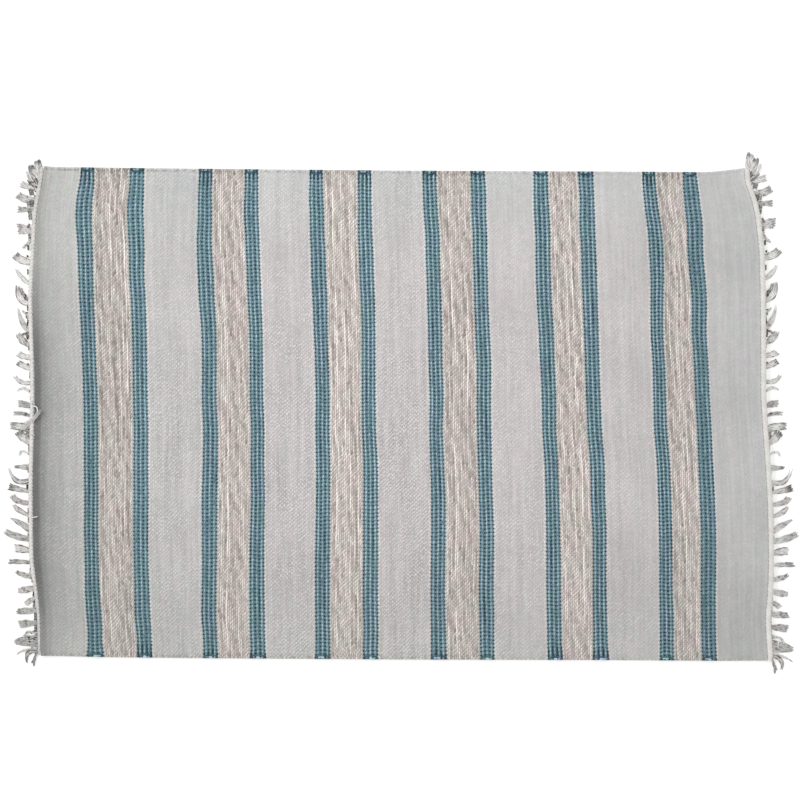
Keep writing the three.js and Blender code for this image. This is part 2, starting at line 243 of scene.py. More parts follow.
class Wire:
    # one output of a shader node; arithmetic on it adds Math nodes
    def __init__(self, tree, socket=None):
        self.tree = tree
        self.socket = socket

    def node(self, kind, settings=None, inputs=None, output=0):
        made = self.tree.nodes.new(kind)
        for name, value in (settings or {}).items():
            if name == "stops":
                ramp = made.color_ramp.elements
                for place, colour in value[1:-1]:
                    ramp.new(place)
                for stop, (place, colour) in zip(ramp, value):
                    stop.position = place
                    stop.color = colour
            else:
                setattr(made, name, value)
        for name, value in (inputs or {}).items():
            if isinstance(value, Wire):
                self.tree.links.new(value.socket, made.inputs[name])
            else:
                made.inputs[name].default_value = value
        return Wire(self.tree, made.outputs[output] if made.outputs else None)

    def also(self, output):
        return Wire(self.tree, self.socket.node.outputs[output])

    def math(self, operation, *values):
        return self.node("ShaderNodeMath", {"operation": operation}, dict(enumerate(values)))

    def __add__(self, other):
        return self.math("ADD", self, other)

    def __sub__(self, other):
        return self.math("SUBTRACT", self, other)

    def __rsub__(self, other):
        return self.math("SUBTRACT", other, self)

    def __mul__(self, other):
        return self.math("MULTIPLY", self, other)

    def __truediv__(self, other):
        return self.math("DIVIDE", self, other)

    __radd__ = __add__
    __rmul__ = __mul__

    def clip(self):
        return self.node("ShaderNodeClamp", None, {0: self})

    def away(self, place=0.0):
        # how far it is from a number
        return self.math("ABSOLUTE", self - place if place else self)


def srgb(red, green, blue):
    # a colour as a screen shows it, 0 to 255, made linear
    def linear(c):
        return c / 12.92 if c <= 0.04045 else ((c + 0.055) / 1.055) ** 2.4
    return tuple(linear(c / 255) for c in (red, green, blue)) + (1,)


def mixed(share, first, second):
    return share.node("ShaderNodeMix", {"data_type": "RGBA"}, {0: share, 6: first, 7: second}, 2)


def multiplied(colour, by):
    settings = {"data_type": "RGBA", "blend_type": "MULTIPLY"}
    return colour.node("ShaderNodeMix", settings, {0: 1.0, 6: colour, 7: by}, 2)


def grey(share):
    return share.node("ShaderNodeCombineColor", None, {0: share, 1: share, 2: share})


def graph(share, stops):
    # straight lines between numbers
    greys = [(at, (value, value, value, 1)) for at, value in stops]
    return share.node("ShaderNodeValToRGB", {"stops": greys}, {0: share})


def noise(places, scale, detail=2.0, stretch=1):
    # from 0 to 1, and drawn out across the rug where the stretch is under 1
    if stretch != 1:
        inputs = {0: places, 1: (1, stretch, 1)}
        places = places.node("ShaderNodeVectorMath", {"operation": "MULTIPLY"}, inputs)
    return places.node("ShaderNodeTexNoise", None, {"Vector": places, "Scale": scale, "Detail": detail})


def swing(*settings):
    # the same about zero
    return noise(*settings) - 0.5


def attribute(start, name):
    return start.node("ShaderNodeAttribute", {"attribute_name": name}, None, "Fac")


def surface(colour, look, strength, height):
    # what cotton has in common
    relief = {"Strength": strength, "Distance": look["bump"], "Height": height}
    return {
        "Base Color": colour,
        "Roughness": look["roughness"],
        "Sheen Weight": look["sheen"],
        "Normal": colour.node("ShaderNodeBump", None, relief),
    }


def madeMaterial(name, looksOf, look):
    material = bpy.data.materials.new(name)
    material.use_nodes = True
    material.node_tree.nodes.clear()
    start = Wire(material.node_tree)
    shader = start.node("ShaderNodeBsdfPrincipled", None, looksOf(start, look))
    start.node("ShaderNodeOutputMaterial", None, {"Surface": shader})
    return material


# Colours of the flat parts of the weave, as a screen shows them; where two picks alternate, the second one
# is "other"; the tone between dark and light holds painted shade of the relief besides uneven dye
clothLooks = {
    "ground": {"light": (217, 213, 213), "dark": (151, 149, 149), "contrast": 0.85},
    "stripe": {"light": (200, 193, 188), "dark": (156, 149, 144), "contrast": 0.4},
    "band": {"light": (116, 147, 158), "dark": (76, 107, 119), "contrast": 0.5},
    "stripeUnder": {"light": (214, 204, 198), "dark": (146, 136, 130), "contrast": 0.9},
    "bandUnder": {"light": (78, 112, 124), "dark": (38, 68, 80), "contrast": 0.9, "other": (148, 178, 184)},
}
weave = {
    "wander": 1.8,  # how far the picks stray in long waves and in short ones, counted in picks
    "shiver": 0.55,
    "slant": -0.5,  # how each pick leans over its warps, and how much that changes over the rug
    "slantChange": 3.0,
    "drawn": 3.2,  # how far apart the crossings are pulled
    "dip": 2.4,  # how much lower a pick lies at its sides
    "middle": 0.36,  # the height that keeps its tone
    # what makes its tone uneven: how fine, how detailed, how drawn out, how strong, and how much more where
    # it is crisp
    "uneven": [(0.42, 2, 0.045, 0.25, 0.4), (0.03, 2, 1, 0.35, 0), (0.62, 2, 1, 0.34, 0),
               (0.2, 3, 1, 0.26, 0), (0.95, 2, 0.06, 0.1, 0.3)],
    "dye": 0.1,
    "grain": 0.25,
    "tone": 0.62,
    "hues": ((0.97, 1.0, 0.985, 1), (1.02, 0.985, 1.0, 1)),
    "bump": 0.0006,
    "roughness": 0.93,
    "sheen": 0.1,
    # how dark the marks along the edges (painted shade in the gaps where the picks turn), the line beside the
    # top one and the specks are, and where the first two lie: millimetres from the edge, and over how many
    "marks": 0.42,
    "topLine": 0.5,
    "specks": 0.35,
    "marksOver": 0.46,  # marks and specks are where their noise is over these, with sharp borders
    "specksOver": 0.73,
    "sharp": 9,
    "marksAt": (2.4, 2.6),
    "topLineAt": (3.6, 1.4),
    "topLineAlong": [(0, 0), (0.02, 0.1), (0.035, 1), (0.1, 1), (0.16, 0.3), (0.3, 0)],
    "marksAlong": [(0, 0.6), (0.12, 1), (0.5, 0.8), (0.7, 0.35), (1, 0.2)],
    # how crisp the weave is, how warm and how aged its colour, from left to right and from the bottom up
    "crispAlong": [(0, 0.46), (0.2, 0.78), (0.35, 0.9), (0.5, 1.0), (0.65, 0.58), (0.8, 0.42), (0.9, 0.22),
                   (1, 0.16)],
    "crispUp": [(0, 0.95), (0.55, 1.0), (0.8, 0.55), (1, 0.5)],
    "warmAlong": [(0, 0), (0.12, 0.3), (0.3, 0.9), (0.5, 1), (0.75, 1), (0.88, 0.6), (1, 0)],
    "warmUp": [(0, 0.3), (0.2, 0.9), (0.8, 0.9), (1, 0)],
    "agedAlong": [(0, 1), (0.1, 0.6), (0.2, 0)],
    "agedUp": [(0, 0.8), (0.16, 0.3), (0.3, 0)],
    "aged": ((1, 1, 1, 1), (1.002, 1.0, 0.968, 1)),
    "warm": ((0.985, 1.035, 1.025, 1), (1.006, 0.986, 0.983, 1)),
}


def weaveLooks(start, look):
    # plain weave: wefts run across the rug and lean a little where they pass over a warp
    places = start.node("ShaderNodeUVMap", {"uv_map": "loom"})
    split = start.node("ShaderNodeSeparateXYZ", None, {0: places})
    across = split.also(1)
    shiver = noise(places, 0.9, 1.0)
    grain = noise(places, 2.1)
    pickAt = split + swing(places, 0.07) * weave["wander"] + (shiver - 0.5) * weave["shiver"]
    pick = pickAt.math("FLOOR", pickAt)
    within = pickAt - pick - 0.5
    slant = swing(places, 0.045) * weave["slantChange"] + weave["slant"]
    turn = across + pick + within * slant + swing(places, 0.9, 2.0, 0.3) * weave["drawn"]
    over = turn.math("COSINE", turn * math.pi) * 0.5 + 0.5
    cell = turn.math("FLOOR", turn * 0.5 + 0.5)
    apart = cell.node("ShaderNodeCombineXYZ", None, {0: pick, 1: cell})
    apart = apart.node("ShaderNodeTexWhiteNoise", {"noise_dimensions": "2D"}, {"Vector": apart})
    # high where a pick passes over a warp, lower at the pick's sides, and no two alike
    height = over * (1 - within * within * weave["dip"]) * (apart * 0.9 + 0.4)

    fromLeft = split / cutPicks[-1]
    up = across * (loom["warpPitch"] / loom["width"]) + 0.5
    crisp = graph(fromLeft, weave["crispAlong"]) * graph(up, weave["crispUp"])
    # the relief shows more in patches, and where the weave is crisp
    strong = ((swing(places, 0.06) * 3 + 0.6).clip() * 0.9 + 0.5) * crisp
    dye = pick.node("ShaderNodeTexWhiteNoise", {"noise_dimensions": "1D"}, {"W": pick})
    # painted shade: the tone follows the relief, paler where a pick passes over a warp, darker at its sides
    tone = (height - weave["middle"]) * strong * look["contrast"] + weave["tone"]
    tone = tone + (dye - 0.5) * weave["dye"] + (grain - 0.5) * weave["grain"] * crisp
    for scale, detail, stretch, strength, crisper in weave["uneven"]:
        share = crisp * crisper + strength if crisper else strength
        tone = tone + swing(places, scale, detail, stretch) * share
    colour = mixed(tone.clip(), srgb(*look["dark"]), srgb(*look["light"]))
    # painted shade by the relief on the second pick too
    if "other" in look:
        odd = pick.math("PINGPONG", pick, 1)
        colour = mixed(odd, colour, multiplied(grey(height * 0.5 + 0.6), srgb(*look["other"])))
    hue = (swing(places, 0.2, 3.0, 0.6) * 3.2 + 0.5).clip()
    warm = graph(fromLeft, weave["warmAlong"]) * graph(up, weave["warmUp"])
    aged = (graph(fromLeft, weave["agedAlong"]) + graph(up, weave["agedUp"])).clip()
    for share, tints in ((hue, weave["hues"]), (warm, weave["warm"]), (aged, weave["aged"])):
        colour = multiplied(colour, mixed(share, *tints))

    fromEdge = loom["width"] / 2 - across.away() * loom["warpPitch"]
    # marks: painted shade in the gaps where the picks turn back at the edges
    inEdge = (1 - fromEdge.away(weave["marksAt"][0]) / weave["marksAt"][1]).clip()
    vees = noise(places, 0.5, 1.0, 0.25) + within * 0.12
    marks = ((vees - weave["marksOver"]) * weave["sharp"]).clip() * inEdge
    marks = marks * graph(fromLeft, weave["marksAlong"])
    specks = ((noise(places, 0.8, 1.0) - weave["specksOver"]) * weave["sharp"]).clip()
    # a darker line near the top edge, over part of its length
    topLine = (weave["topLineAt"][1] - fromEdge.away(weave["topLineAt"][0])).clip() * graph(fromLeft, weave["topLineAlong"])
    topLine = topLine * (across * 9).clip()  # at the top alone
    # what the dark places, the painted shade and the painted light leave of the colour
    clear = 1 - marks * weave["marks"] - specks * weave["specks"] - topLine * (shiver * weave["topLine"])
    colour = multiplied(colour, grey(clear * attribute(start, "kept")))
    return surface(colour, weave, 0.85, (height + grain * 0.4) * (crisp * 0.7 + 0.3))


# Colours of the raised yarns, as a screen shows them: their tone runs through three or four stops, and two
# tints take turns in patches; "hollow" is what painted shade leaves of the colour down between the neighbours
yarnLooks = {
    "stripe": {
        "stops": [(0, (144, 137, 132)), (0.4, (206, 199, 195)), (0.75, (236, 230, 226)),
                  (1, (250, 244, 240))],
        "tints": ((0.975, 1.005, 0.955, 1), (1.035, 0.965, 0.985, 1)),
        "hollow": 0.86,
    },
    "darkTeal": {
        "stops": [(0, (20, 46, 55)), (0.5, (36, 68, 79)), (1, (86, 119, 128))],
        "tints": ((0.85, 1.08, 0.88, 1), (1.06, 0.92, 1.14, 1)),
        "hollow": 0.8,
    },
    "paleTeal": {
        "stops": [(0, (96, 128, 136)), (0.5, (153, 182, 191)), (1, (190, 213, 221))],
        "tints": ((0.93, 1.03, 0.96, 1), (1.04, 0.97, 1.07, 1)),
        "hollow": 0.55,
    },
    "border": {
        "stops": [(0, (176, 174, 172)), (0.6, (222, 222, 222)), (1, (240, 240, 240))],
        "tints": ((0.98, 1.0, 0.99, 1), (1.0, 0.99, 1.02, 1)),
        "hollow": 0.72,
    },
    "warp": {
        "stops": [(0, (66, 65, 63)), (0.45, (158, 157, 154)), (0.75, (222, 221, 218)), (1, (246, 246, 244))],
        "tints": ((0.975, 1.0, 0.975, 1), (1.03, 0.985, 1.0, 1)),
        "hollow": 0.5,
        "grain": 0.3,
        "fibres": 700,
    },
    "cord": {
        "stops": [(0, (120, 118, 114)), (0.6, (214, 212, 208)), (1, (240, 238, 234))],
        "tints": ((0.985, 1.0, 0.98, 1), (1.02, 0.985, 0.995, 1)),
        "hollow": 0.8,
        "grain": 0.25,
        "fibres": 700,
    },
}
# What holds for a yarn that has none of its own
anyYarn = {"grain": 0.4, "fibres": 900, "bump": 0.0002, "roughness": 0.94, "sheen": 0.1}


def yarnLooksOf(start, look):
    # yarn whose tone varies, with painted shade down between its neighbours and the painted light it is given
    look = {**anyYarn, **look}
    places = start.node("ShaderNodeTexCoord", None, None, "Object")
    fibres = noise(places, look["fibres"], 3.0)
    tone = (attribute(start, "tone") + (fibres - 0.5) * look["grain"]).clip()
    stops = [(at, srgb(*colour)) for at, colour in look["stops"]]
    colour = tone.node("ShaderNodeValToRGB", {"stops": stops}, {0: tone})
    hue = (swing(places, 42) * 3 + 0.5).clip()
    colour = multiplied(colour, mixed(hue, *look["tints"]))
    clear = attribute(start, "rise") * (1 - look["hollow"]) + look["hollow"]
    return surface(multiplied(colour, grey(clear * attribute(start, "kept"))), look, 0.5, fibres)


cloths = {name: madeMaterial(name + "Cloth", weaveLooks, look) for name, look in clothLooks.items()}
yarns = {name: madeMaterial(name + "Yarn", yarnLooksOf, look) for name, look in yarnLooks.items()}
print("materials:", len(cloths) + len(yarns))


def placed(name, data):
    made = bpy.data.objects.new(name, data)
    scene.collection.objects.link(made)
    return made


def giveNumbers(mesh, name, values):
    mesh.attributes.new(name, "FLOAT", "POINT").data.foreach_set("value", values)


def foldedMap(along, across, part, parts, start, width, upper):
    # the bake's map of raised picks: each part of the weave is cut at the middle and laid side by side
    reach = loom["width"] / 2 + 3
    u = (part * 2 + upper + 0.04 + 0.92 * np.clip((along - start + 2) / (width + 4), 0, 1)) / (2 * parts)
    v = np.where(upper > 0, across + 3, across + reach) / (reach + 3)
    return np.stack([u, np.clip(v, 0.002, 0.998)], -1)


def yarnDome():
    # one place where a pick passes over a warp: six-sided, closed, pointed below
    bm = bmesh.new()
    bmesh.ops.create_uvsphere(bm, u_segments=6, v_segments=4, radius=1)
    low = [vert for vert in bm.verts if vert.co.z < -0.1]
    bmesh.ops.pointmerge(bm, verts=low, merge_co=(0, 0, -0.6))
    return seedOf(bm)


def yarnTube(sides, rings):
    # a straight closed tube, one long, to be bent along a yarn's route
    bm = bmesh.new()
    bmesh.ops.create_cone(bm, cap_ends=True, segments=sides, radius1=1, radius2=1, depth=1)
    lengthwise = [edge for edge in bm.edges if abs(edge.verts[0].co.z - edge.verts[1].co.z) > 0.5]
    bmesh.ops.subdivide_edges(bm, edges=lengthwise, cuts=rings - 2, use_grid_fill=True)
    bmesh.ops.translate(bm, verts=bm.verts, vec=(0, 0, 0.5))
    return seedOf(bm)


def seedOf(bm):
    # a small mesh as numbers: its points, its faces' corner counts, and all their corners
    bmesh.ops.recalc_face_normals(bm, faces=bm.faces[:])
    bm.verts.index_update()
    seed = {
        "points": np.array([vert.co[:] for vert in bm.verts]),
        "counts": np.array([len(face.verts) for face in bm.faces]),
        "corners": np.array([vert.index for face in bm.faces for vert in face.verts]),
        "map": np.array([spot for face in bm.faces for spot in wrapped(face)]),
    }
    bm.free()
    return seed


def wrapped(face):
    # where a tube's face lies on its map: lengthwise and around, with its caps in a corner
    if abs(face.normal.z) > 0.9:
        return [(0.03 + 0.02 * vert.co.x, 0.03 + 0.02 * vert.co.y) for vert in face.verts]
    turns = [math.atan2(vert.co.y, vert.co.x) / (2 * math.pi) % 1 for vert in face.verts]
    turns = [turn + 1 if turn < max(turns) - 0.5 else turn for turn in turns]
    return [(0.08 + 0.9 * vert.co.z, 0.08 + 0.74 * turn) for vert, turn in zip(face.verts, turns)]


def joinedCopies(name, seed, points, attributes, bakeMap, material):
    # one mesh of many copies of a seed; points are copies x points x 3, in millimetres
    copies, size = points.shape[:2]
    corners = (seed["corners"][None, :] + np.arange(copies)[:, None] * size).reshape(-1)
    starts = np.concatenate(([0], np.cumsum(np.tile(seed["counts"], copies))[:-1]))
    mesh = bpy.data.meshes.new(name)
    mesh.vertices.add(copies * size)
    mesh.vertices.foreach_set("co", (points * mm).reshape(-1))
    mesh.loops.add(len(corners))
    mesh.loops.foreach_set("vertex_index", corners)
    mesh.polygons.add(len(starts))
    mesh.polygons.foreach_set("loop_start", starts)
    mesh.polygons.foreach_set("use_smooth", np.ones(len(starts), bool))
    mesh.update(calc_edges=True)
    for key, values in attributes.items():
        giveNumbers(mesh, key, np.broadcast_to(values, (copies, size)).reshape(-1))
    mesh.uv_layers.new(name="OFBake").uv.foreach_set("vector", bakeMap.reshape(-1))
    mesh.materials.append(material)
    print(name, "copies", copies, "faces", len(starts))
    return placed(name, mesh)


# Steps of the cloth's mesh along the rug in each part, and its rows near a selvedge with their rounding
clothMesh = {
    "steps": {"ground": 3.7, "band": 2.4, "stripe": 2.9},
    "nearEnd": [1.2, 2.6, 4.2, 6, 8, 10.5],
    "nearEdge": [0, 0.5, 1.4, 2.6, 3.6, 4.6, 5.6, 7.2],
    "topDrop": [1.7, 0.75, 0.2, 0, 0.1, 0.35, 0.1, 0],
    "underRise": [1.3, 0.5, 0.1, 0, 0, 0, 0, 0],
    "rows": 116,
}


def clothColumns():
    # where the cloth's mesh is divided along the rug: at each part's ends, and closer at the rug's own
    half = loom["length"] / 2
    columns = [-half, half]
    for zone in zones:
        count = max(2, round((zone["end"] - zone["start"]) / clothMesh["steps"][zone["kind"]]))
        columns += list(np.linspace(zone["start"], zone["end"], count + 1))
    columns += [side * (half - near) for near in clothMesh["nearEnd"] for side in (-1, 1)]
    columns = sorted(set(round(column, 3) for column in columns))
    return np.array([c for i, c in enumerate(columns) if i == 0 or c - columns[i - 1] > 0.5])


def makeCloth():
    columns = clothColumns()
    half = loom["width"] / 2
    edge = [half - near for near in clothMesh["nearEdge"]]
    inner = list(np.linspace(edge[-1] - 4, 4 - edge[-1], clothMesh["rows"]))
    rows = np.array(sorted(edge + inner + [-place for place in edge]))

    bm = bmesh.new()
    bmesh.ops.create_grid(bm, x_segments=len(columns) - 1, y_segments=len(rows) - 1, size=0.5)
    raised = bmesh.ops.extrude_face_region(bm, geom=bm.faces[:], use_keep_orig=True)
    lifted = [item for item in raised["geom"] if isinstance(item, bmesh.types.BMVert)]
    bmesh.ops.translate(bm, verts=lifted, vec=(0, 0, 1))
    bm.verts.index_update()
    unit = np.array([vert.co[:] for vert in bm.verts])
    column = np.rint((unit[:, 0] + 0.5) * (len(columns) - 1)).astype(int)
    row = np.rint((unit[:, 1] + 0.5) * (len(rows) - 1)).astype(int)
    onTop = unit[:, 2] > 0.5

    along, across = columns[column], rows[row]
    zoneOf = np.clip(np.searchsorted(cuts, along, side="right") - 1, 0, len(zones) - 1)
    plain = np.array([zone["kind"] == "ground" for zone in zones])[zoneOf]
    onCut = np.isin(np.round(along, 3), np.round(cuts, 3))
    fromEdge = half - np.abs(across)
    top = levelAt(along, across) - np.where(plain | onCut, 0, loom["sunk"])
    top = top - np.interp(fromEdge, clothMesh["nearEdge"], clothMesh["topDrop"])
    under = liftAt(along, across) + np.interp(fromEdge, clothMesh["nearEdge"], clothMesh["underRise"])
    x, y = layOut(along, across)
    for vert, place in zip(bm.verts, np.stack([x, y, np.where(onTop, top, under)], -1) * mm):
        vert.co = place
    bmesh.ops.recalc_face_normals(bm, faces=bm.faces[:])

    slots = list(cloths)
    picksAt = np.interp(along, cuts, cutPicks)
    loomMap = bm.loops.layers.uv.new("loom")
    bakeMap = bm.loops.layers.uv.new("OFBake")
    for face in bm.faces:
        face.smooth = True
        indices = [vert.index for vert in face.verts]
        kind = zones[np.searchsorted(cuts[1:-1], along[indices].mean(), side="right")]["kind"]
        tops = onTop[indices]
        if not tops.any() and kind != "ground":
            kind += "Under"
        face.material_index = slots.index(kind)
        for loop, i in zip(face.loops, indices):
            loop[loomMap].uv = (picksAt[i], across[i] / loom["warpPitch"])
            # the bake's map: the top face above, the underside below, the four walls in strips between
            u, v = along[i] / loom["length"], across[i] / loom["width"]
            if tops.all():
                spot = (0.5 + 0.99 * u, 0.685 + 0.61 * v)
            elif not tops.any():
                spot = (0.5 + 0.99 * u, 0.172 + 0.33 * v)
            elif (column[indices] == column[i]).all():
                spot = (0.5 + 0.99 * v, (0.346 if column[i] else 0.353) + 0.005 * onTop[i])
            else:
                spot = (0.5 + 0.99 * u, (0.36 if row[i] else 0.367) + 0.005 * onTop[i])
            loop[bakeMap].uv = spot
    mesh = bpy.data.meshes.new("rugCloth")
    bm.to_mesh(mesh)
    bm.free()
    # the painted light and shade of each place on the cloth
    giveNumbers(mesh, "kept", lightAt(along, across))
    for slot in slots:
        mesh.materials.append(cloths[slot])
    print("rugCloth columns", len(columns), "rows", len(rows))
    return placed("rugCloth", mesh)


rugCloth = makeCloth()

# All raised picks: how far from the edge the last ones lie and the yarn ends, and how unevenly they lie
anyPick = {"fromEdge": 1.2, "within": 0.3, "strayAlong": 0.12, "strayAcross": 0.14, "sway": 0.5}

# Raised yarns of the bands: dark and pale picks take turns, and run together near the selvedges; "run" is
# how much longer a pick is where it runs on over the weave
bandPicks = {
    "dark": {"halfWidth": 1.22, "halfLength": 1.3, "nearEdge": 3.1, "height": 1.15, "tone": 0.3, "run": 0.9},
    "pale": {"halfWidth": 1.15, "halfLength": 2.55, "nearEdge": 2.7, "height": 0.75, "tone": 0.5, "run": 0},
    "inset": 0.45,
    "lean": 0.1,
    "edgeReach": {"top": [9, 22], "bottom": [2, 9]},
    "along": [-300, 0, 300],
    "topReach": [1, 0.7, 0.3],  # the top's reach is shorter to the right
}

# The pale pick beside each edge of each band
borderPick = {"halfWidth": 0.95, "halfLength": 2.2, "height": 0.75, "lean": 0.15, "sink": 0.3, "tone": 0.58}

# Raised yarns of the stripes; the slub values hold where a thicker, paler yarn lies
stripePicks = {
    "halfWidth": 1.18,
    "halfLength": 3.0,
    "slubLength": 3.7,
    "height": 0.6,
    "lean": 0.16,
    "wander": 0.4,
    "tone": [0.28, 0.345, 0.355, 0.32, 0.315, 0.3],  # of each stripe
    "slubTone": 0.6,
    "slubHeight": 0.95,
    "slubWider": 0.12,
    "slubReach": 1.4,  # how far it reaches to each side, and how long its fading ends are
    "slubEnds": 14,
}
# Where those lie in each stripe: millimetres from its left edge, the heights they run between, and how much
# paler they are, or darker and thinner below 0
slubs = [
    [(3.0, -290, 290, 0.85), (11, 120, 290, -0.4), (12.5, -290, -100, 0.45), (16.5, -120, 120, 0.5),
     (22.5, 120, 290, 1.1), (22.5, -290, 0, 0.4), (25.2, -120, 140, -0.4), (28.8, -150, 290, 0.9),
     (30.8, -290, -150, 0.9), (33.8, -290, -150, -0.7), (38.6, 20, 290, 1.1)],
    [(2.7, -290, 290, 0.8), (5.5, -250, 110, 0.9), (11.6, 0, 290, 1.1), (13.7, -290, 0, 1.0),
     (14.4, -60, 290, 1.0), (25, 20, 290, 0.9), (28.8, -290, 290, 0.5), (31.8, 110, 200, 0.7),
     (36.2, 100, 290, 0.3)],
    [(3.2, -290, -150, -0.5), (3.5, -70, 290, 0.4), (8.8, -290, 140, 0.8), (12, -290, -140, -0.6),
     (11.6, -70, 290, 0.9), (17, 100, 290, -0.6), (20.8, -70, 250, 0.7), (25.6, -290, 110, 1.0),
     (30.2, 0, 290, 1.0), (33.6, -290, -20, -1.0), (34.2, 100, 290, 0.4), (37, -290, 290, 0.9)],
    [(3, 20, 200, 0.7), (1.8, -290, -70, 1.0), (4.2, -290, -70, 0.9), (5.6, 130, 290, 0.7),
     (13.6, -290, 290, 0.8), (18.2, -290, 290, -0.5), (22.9, 20, 290, 0.8), (31.2, 0, 120, 1.0),
     (34.2, 60, 290, 0.6), (39.2, -290, 290, -0.5)],
    [(5, -290, 290, 0.8), (8.6, -290, 290, 1.0), (18.5, -290, 290, 0.8), (22.6, -290, 140, -0.6),
     (26.2, 0, 290, 1.0), (29.2, -290, 80, 1.3), (35.4, 0, 290, 0.3), (39.4, -200, 290, -0.4)],
    [(2.7, -160, 20, 0.7), (9.3, -290, 290, 0.85), (11.6, -290, 290, 0.5), (15, -160, 290, 0.9),
     (18.4, -290, 290, 0.8), (23.3, -290, 290, 0.8), (26, -290, 290, -0.6), (30.2, -290, 290, 0.8),
     (33, -290, 290, 0.9)],
]


def mapPlace(group, part, count):
    # where a row lies on the bake's map: in which of a group of zones, and how wide that one is
    start, end = group[part]["start"], group[part]["end"]
    place = {"part": part, "parts": len(group), "start": start, "width": end - start}
    return {key: np.full(count, value) for key, value in place.items()}


def pickRow(group, part, number, wander=0.0, **sizes):
    # the places where one pick of a zone passes over the warps, every second warp
    zone = group[part]
    pick = zone["first"] + number
    along = np.interp(pick + 0.5, cutPicks, cuts)
    if zone["kind"] == "band":
        pitch = (zone["end"] - zone["start"] - 2 * bandPicks["inset"]) / (zone["picks"] - 1)
        along = (zone["start"] + zone["end"]) / 2 + (number - (zone["picks"] - 1) / 2) * pitch
    warps = int(loom["width"] / 2 / loom["warpPitch"])
    across = np.arange(-warps + (pick + warps) % 2, warps + 1, 2) * loom["warpPitch"]
    across = across[np.abs(across) < loom["width"] / 2 - anyPick["fromEdge"]]
    count = len(across)
    row = {
        "along": along + chance.normal(0, anyPick["strayAlong"], count)
        + wander * (np.sin(across / 31 + pick / 5) + 0.6 * np.sin(across / 12 + pick / 3)),
        "across": across + anyPick["sway"] * np.sin(across / 37 + pick)
        + chance.normal(0, anyPick["strayAcross"], count),
        **mapPlace(group, part, count),
    }
    for key, value in sizes.items():
        row[key] = np.broadcast_to(value(across) if callable(value) else value, count) * 1.0
    return row


def layPicks(name, seed, picks, material):
    # raised picks: each row is along, across, half width, half length, height, lean, sink, tone and
    # its place on the map: part, of how many, start, width
    picks = list(picks)
    row = {key: np.concatenate([pick[key] for pick in picks])[:, None] for key in picks[0]}
    x, y, z = (seed["points"][:, axis][None, :] for axis in range(3))
    along = row["along"] + x * row["halfWidth"] + row["lean"] * y * row["halfLength"]
    reach = loom["width"] / 2 - anyPick["within"]
    across = np.clip(row["across"] + y * row["halfLength"], -reach, reach)
    placeX, placeY = layOut(along, across)
    level = levelAt(along, across) - row["sink"] + z * row["height"]
    points = np.stack([placeX, placeY, level], -1)
    corner = seed["corners"]
    bakeMap = foldedMap(along[:, corner], across[:, corner], row["part"], row["parts"], row["start"],
                        row["width"], (row["across"] > 0).astype(float))
    # painted shade low on each dome, and the painted light and shade of its place on the rug
    look = {
        "tone": row["tone"],
        "rise": np.clip(0.45 + 0.65 * z, 0, 1),
        "kept": lightAt(row["along"], row["across"]),
    }
    return joinedCopies(name, seed, points, look, bakeMap, material)


def wanderAt(across, number):
    # a slow wave from 0 to 1 along a pick, different for each number
    turns = ((31, 2.4), (73, 1.7), (13, 1))
    return 0.5 + sum(np.sin(across / length + number * shift) for length, shift in turns) / 6


def edgeShare(across, top=1.0):
    # 1 beside a long edge, where the picks run together, and 0 further in
    fromEdge = loom["width"] / 2 - np.abs(across)
    near, far = (np.where(across > 0, high * top, low) for high, low in zip(*bandPicks["edgeReach"].values()))
    return 1 - np.clip((fromEdge - near) / (far - near), 0, 1)


def bandRows(kind, order):
    look = bandPicks[kind]
    group = zonesOf("band")
    for part, band in enumerate(bands):
        top = np.interp(band["at"], bandPicks["along"], bandPicks["topReach"])
        for number in range(order, loom["bandPicks"], 2):
            yield pickRow(
                group, part, number,
                halfWidth=look["halfWidth"] * chance.uniform(0.92, 1.08),
                halfLength=lambda v: look["halfLength"] + edgeShare(v + 30 * (wanderAt(v, part) - 0.5), top)
                * (look["nearEdge"] - look["halfLength"]) + chance.normal(0, 0.1, len(v))
                + look["run"] * np.clip(5 * wanderAt(v, part * 7 + number) - 3.6, 0, 1),
                height=lambda v: look["height"] * chance.uniform(0.85, 1.15, len(v)),
                lean=bandPicks["lean"],
                sink=loom["sunk"],
                tone=lambda v: look["tone"] + band.get("tone", 0) + chance.normal(0, 0.11, len(v))
                + 0.5 * (wanderAt(v, part * 3 + number) - 0.5),
            )


def slubAt(stripe, place, across):
    # how much paler and thicker a pick is at each height, or darker and thinner below 0
    found = np.zeros(len(across))
    for at, low, high, strength in slubs[stripe]:
        near = max(0, 1 - abs(at - place) / stripePicks["slubReach"])
        inside = np.clip((across - low) / stripePicks["slubEnds"], 0, 1)
        inside = inside * np.clip((high - across) / stripePicks["slubEnds"], 0, 1)
        ups = np.sin(across / 10 + at * 3.1 + stripe) + np.sin(across / 23 + at * 1.3 + stripe)
        slub = near * strength * inside * np.clip(0.9 + 0.65 * ups, 0.2, 1)
        found = np.where(np.abs(slub) > np.abs(found), slub, found)
    return found


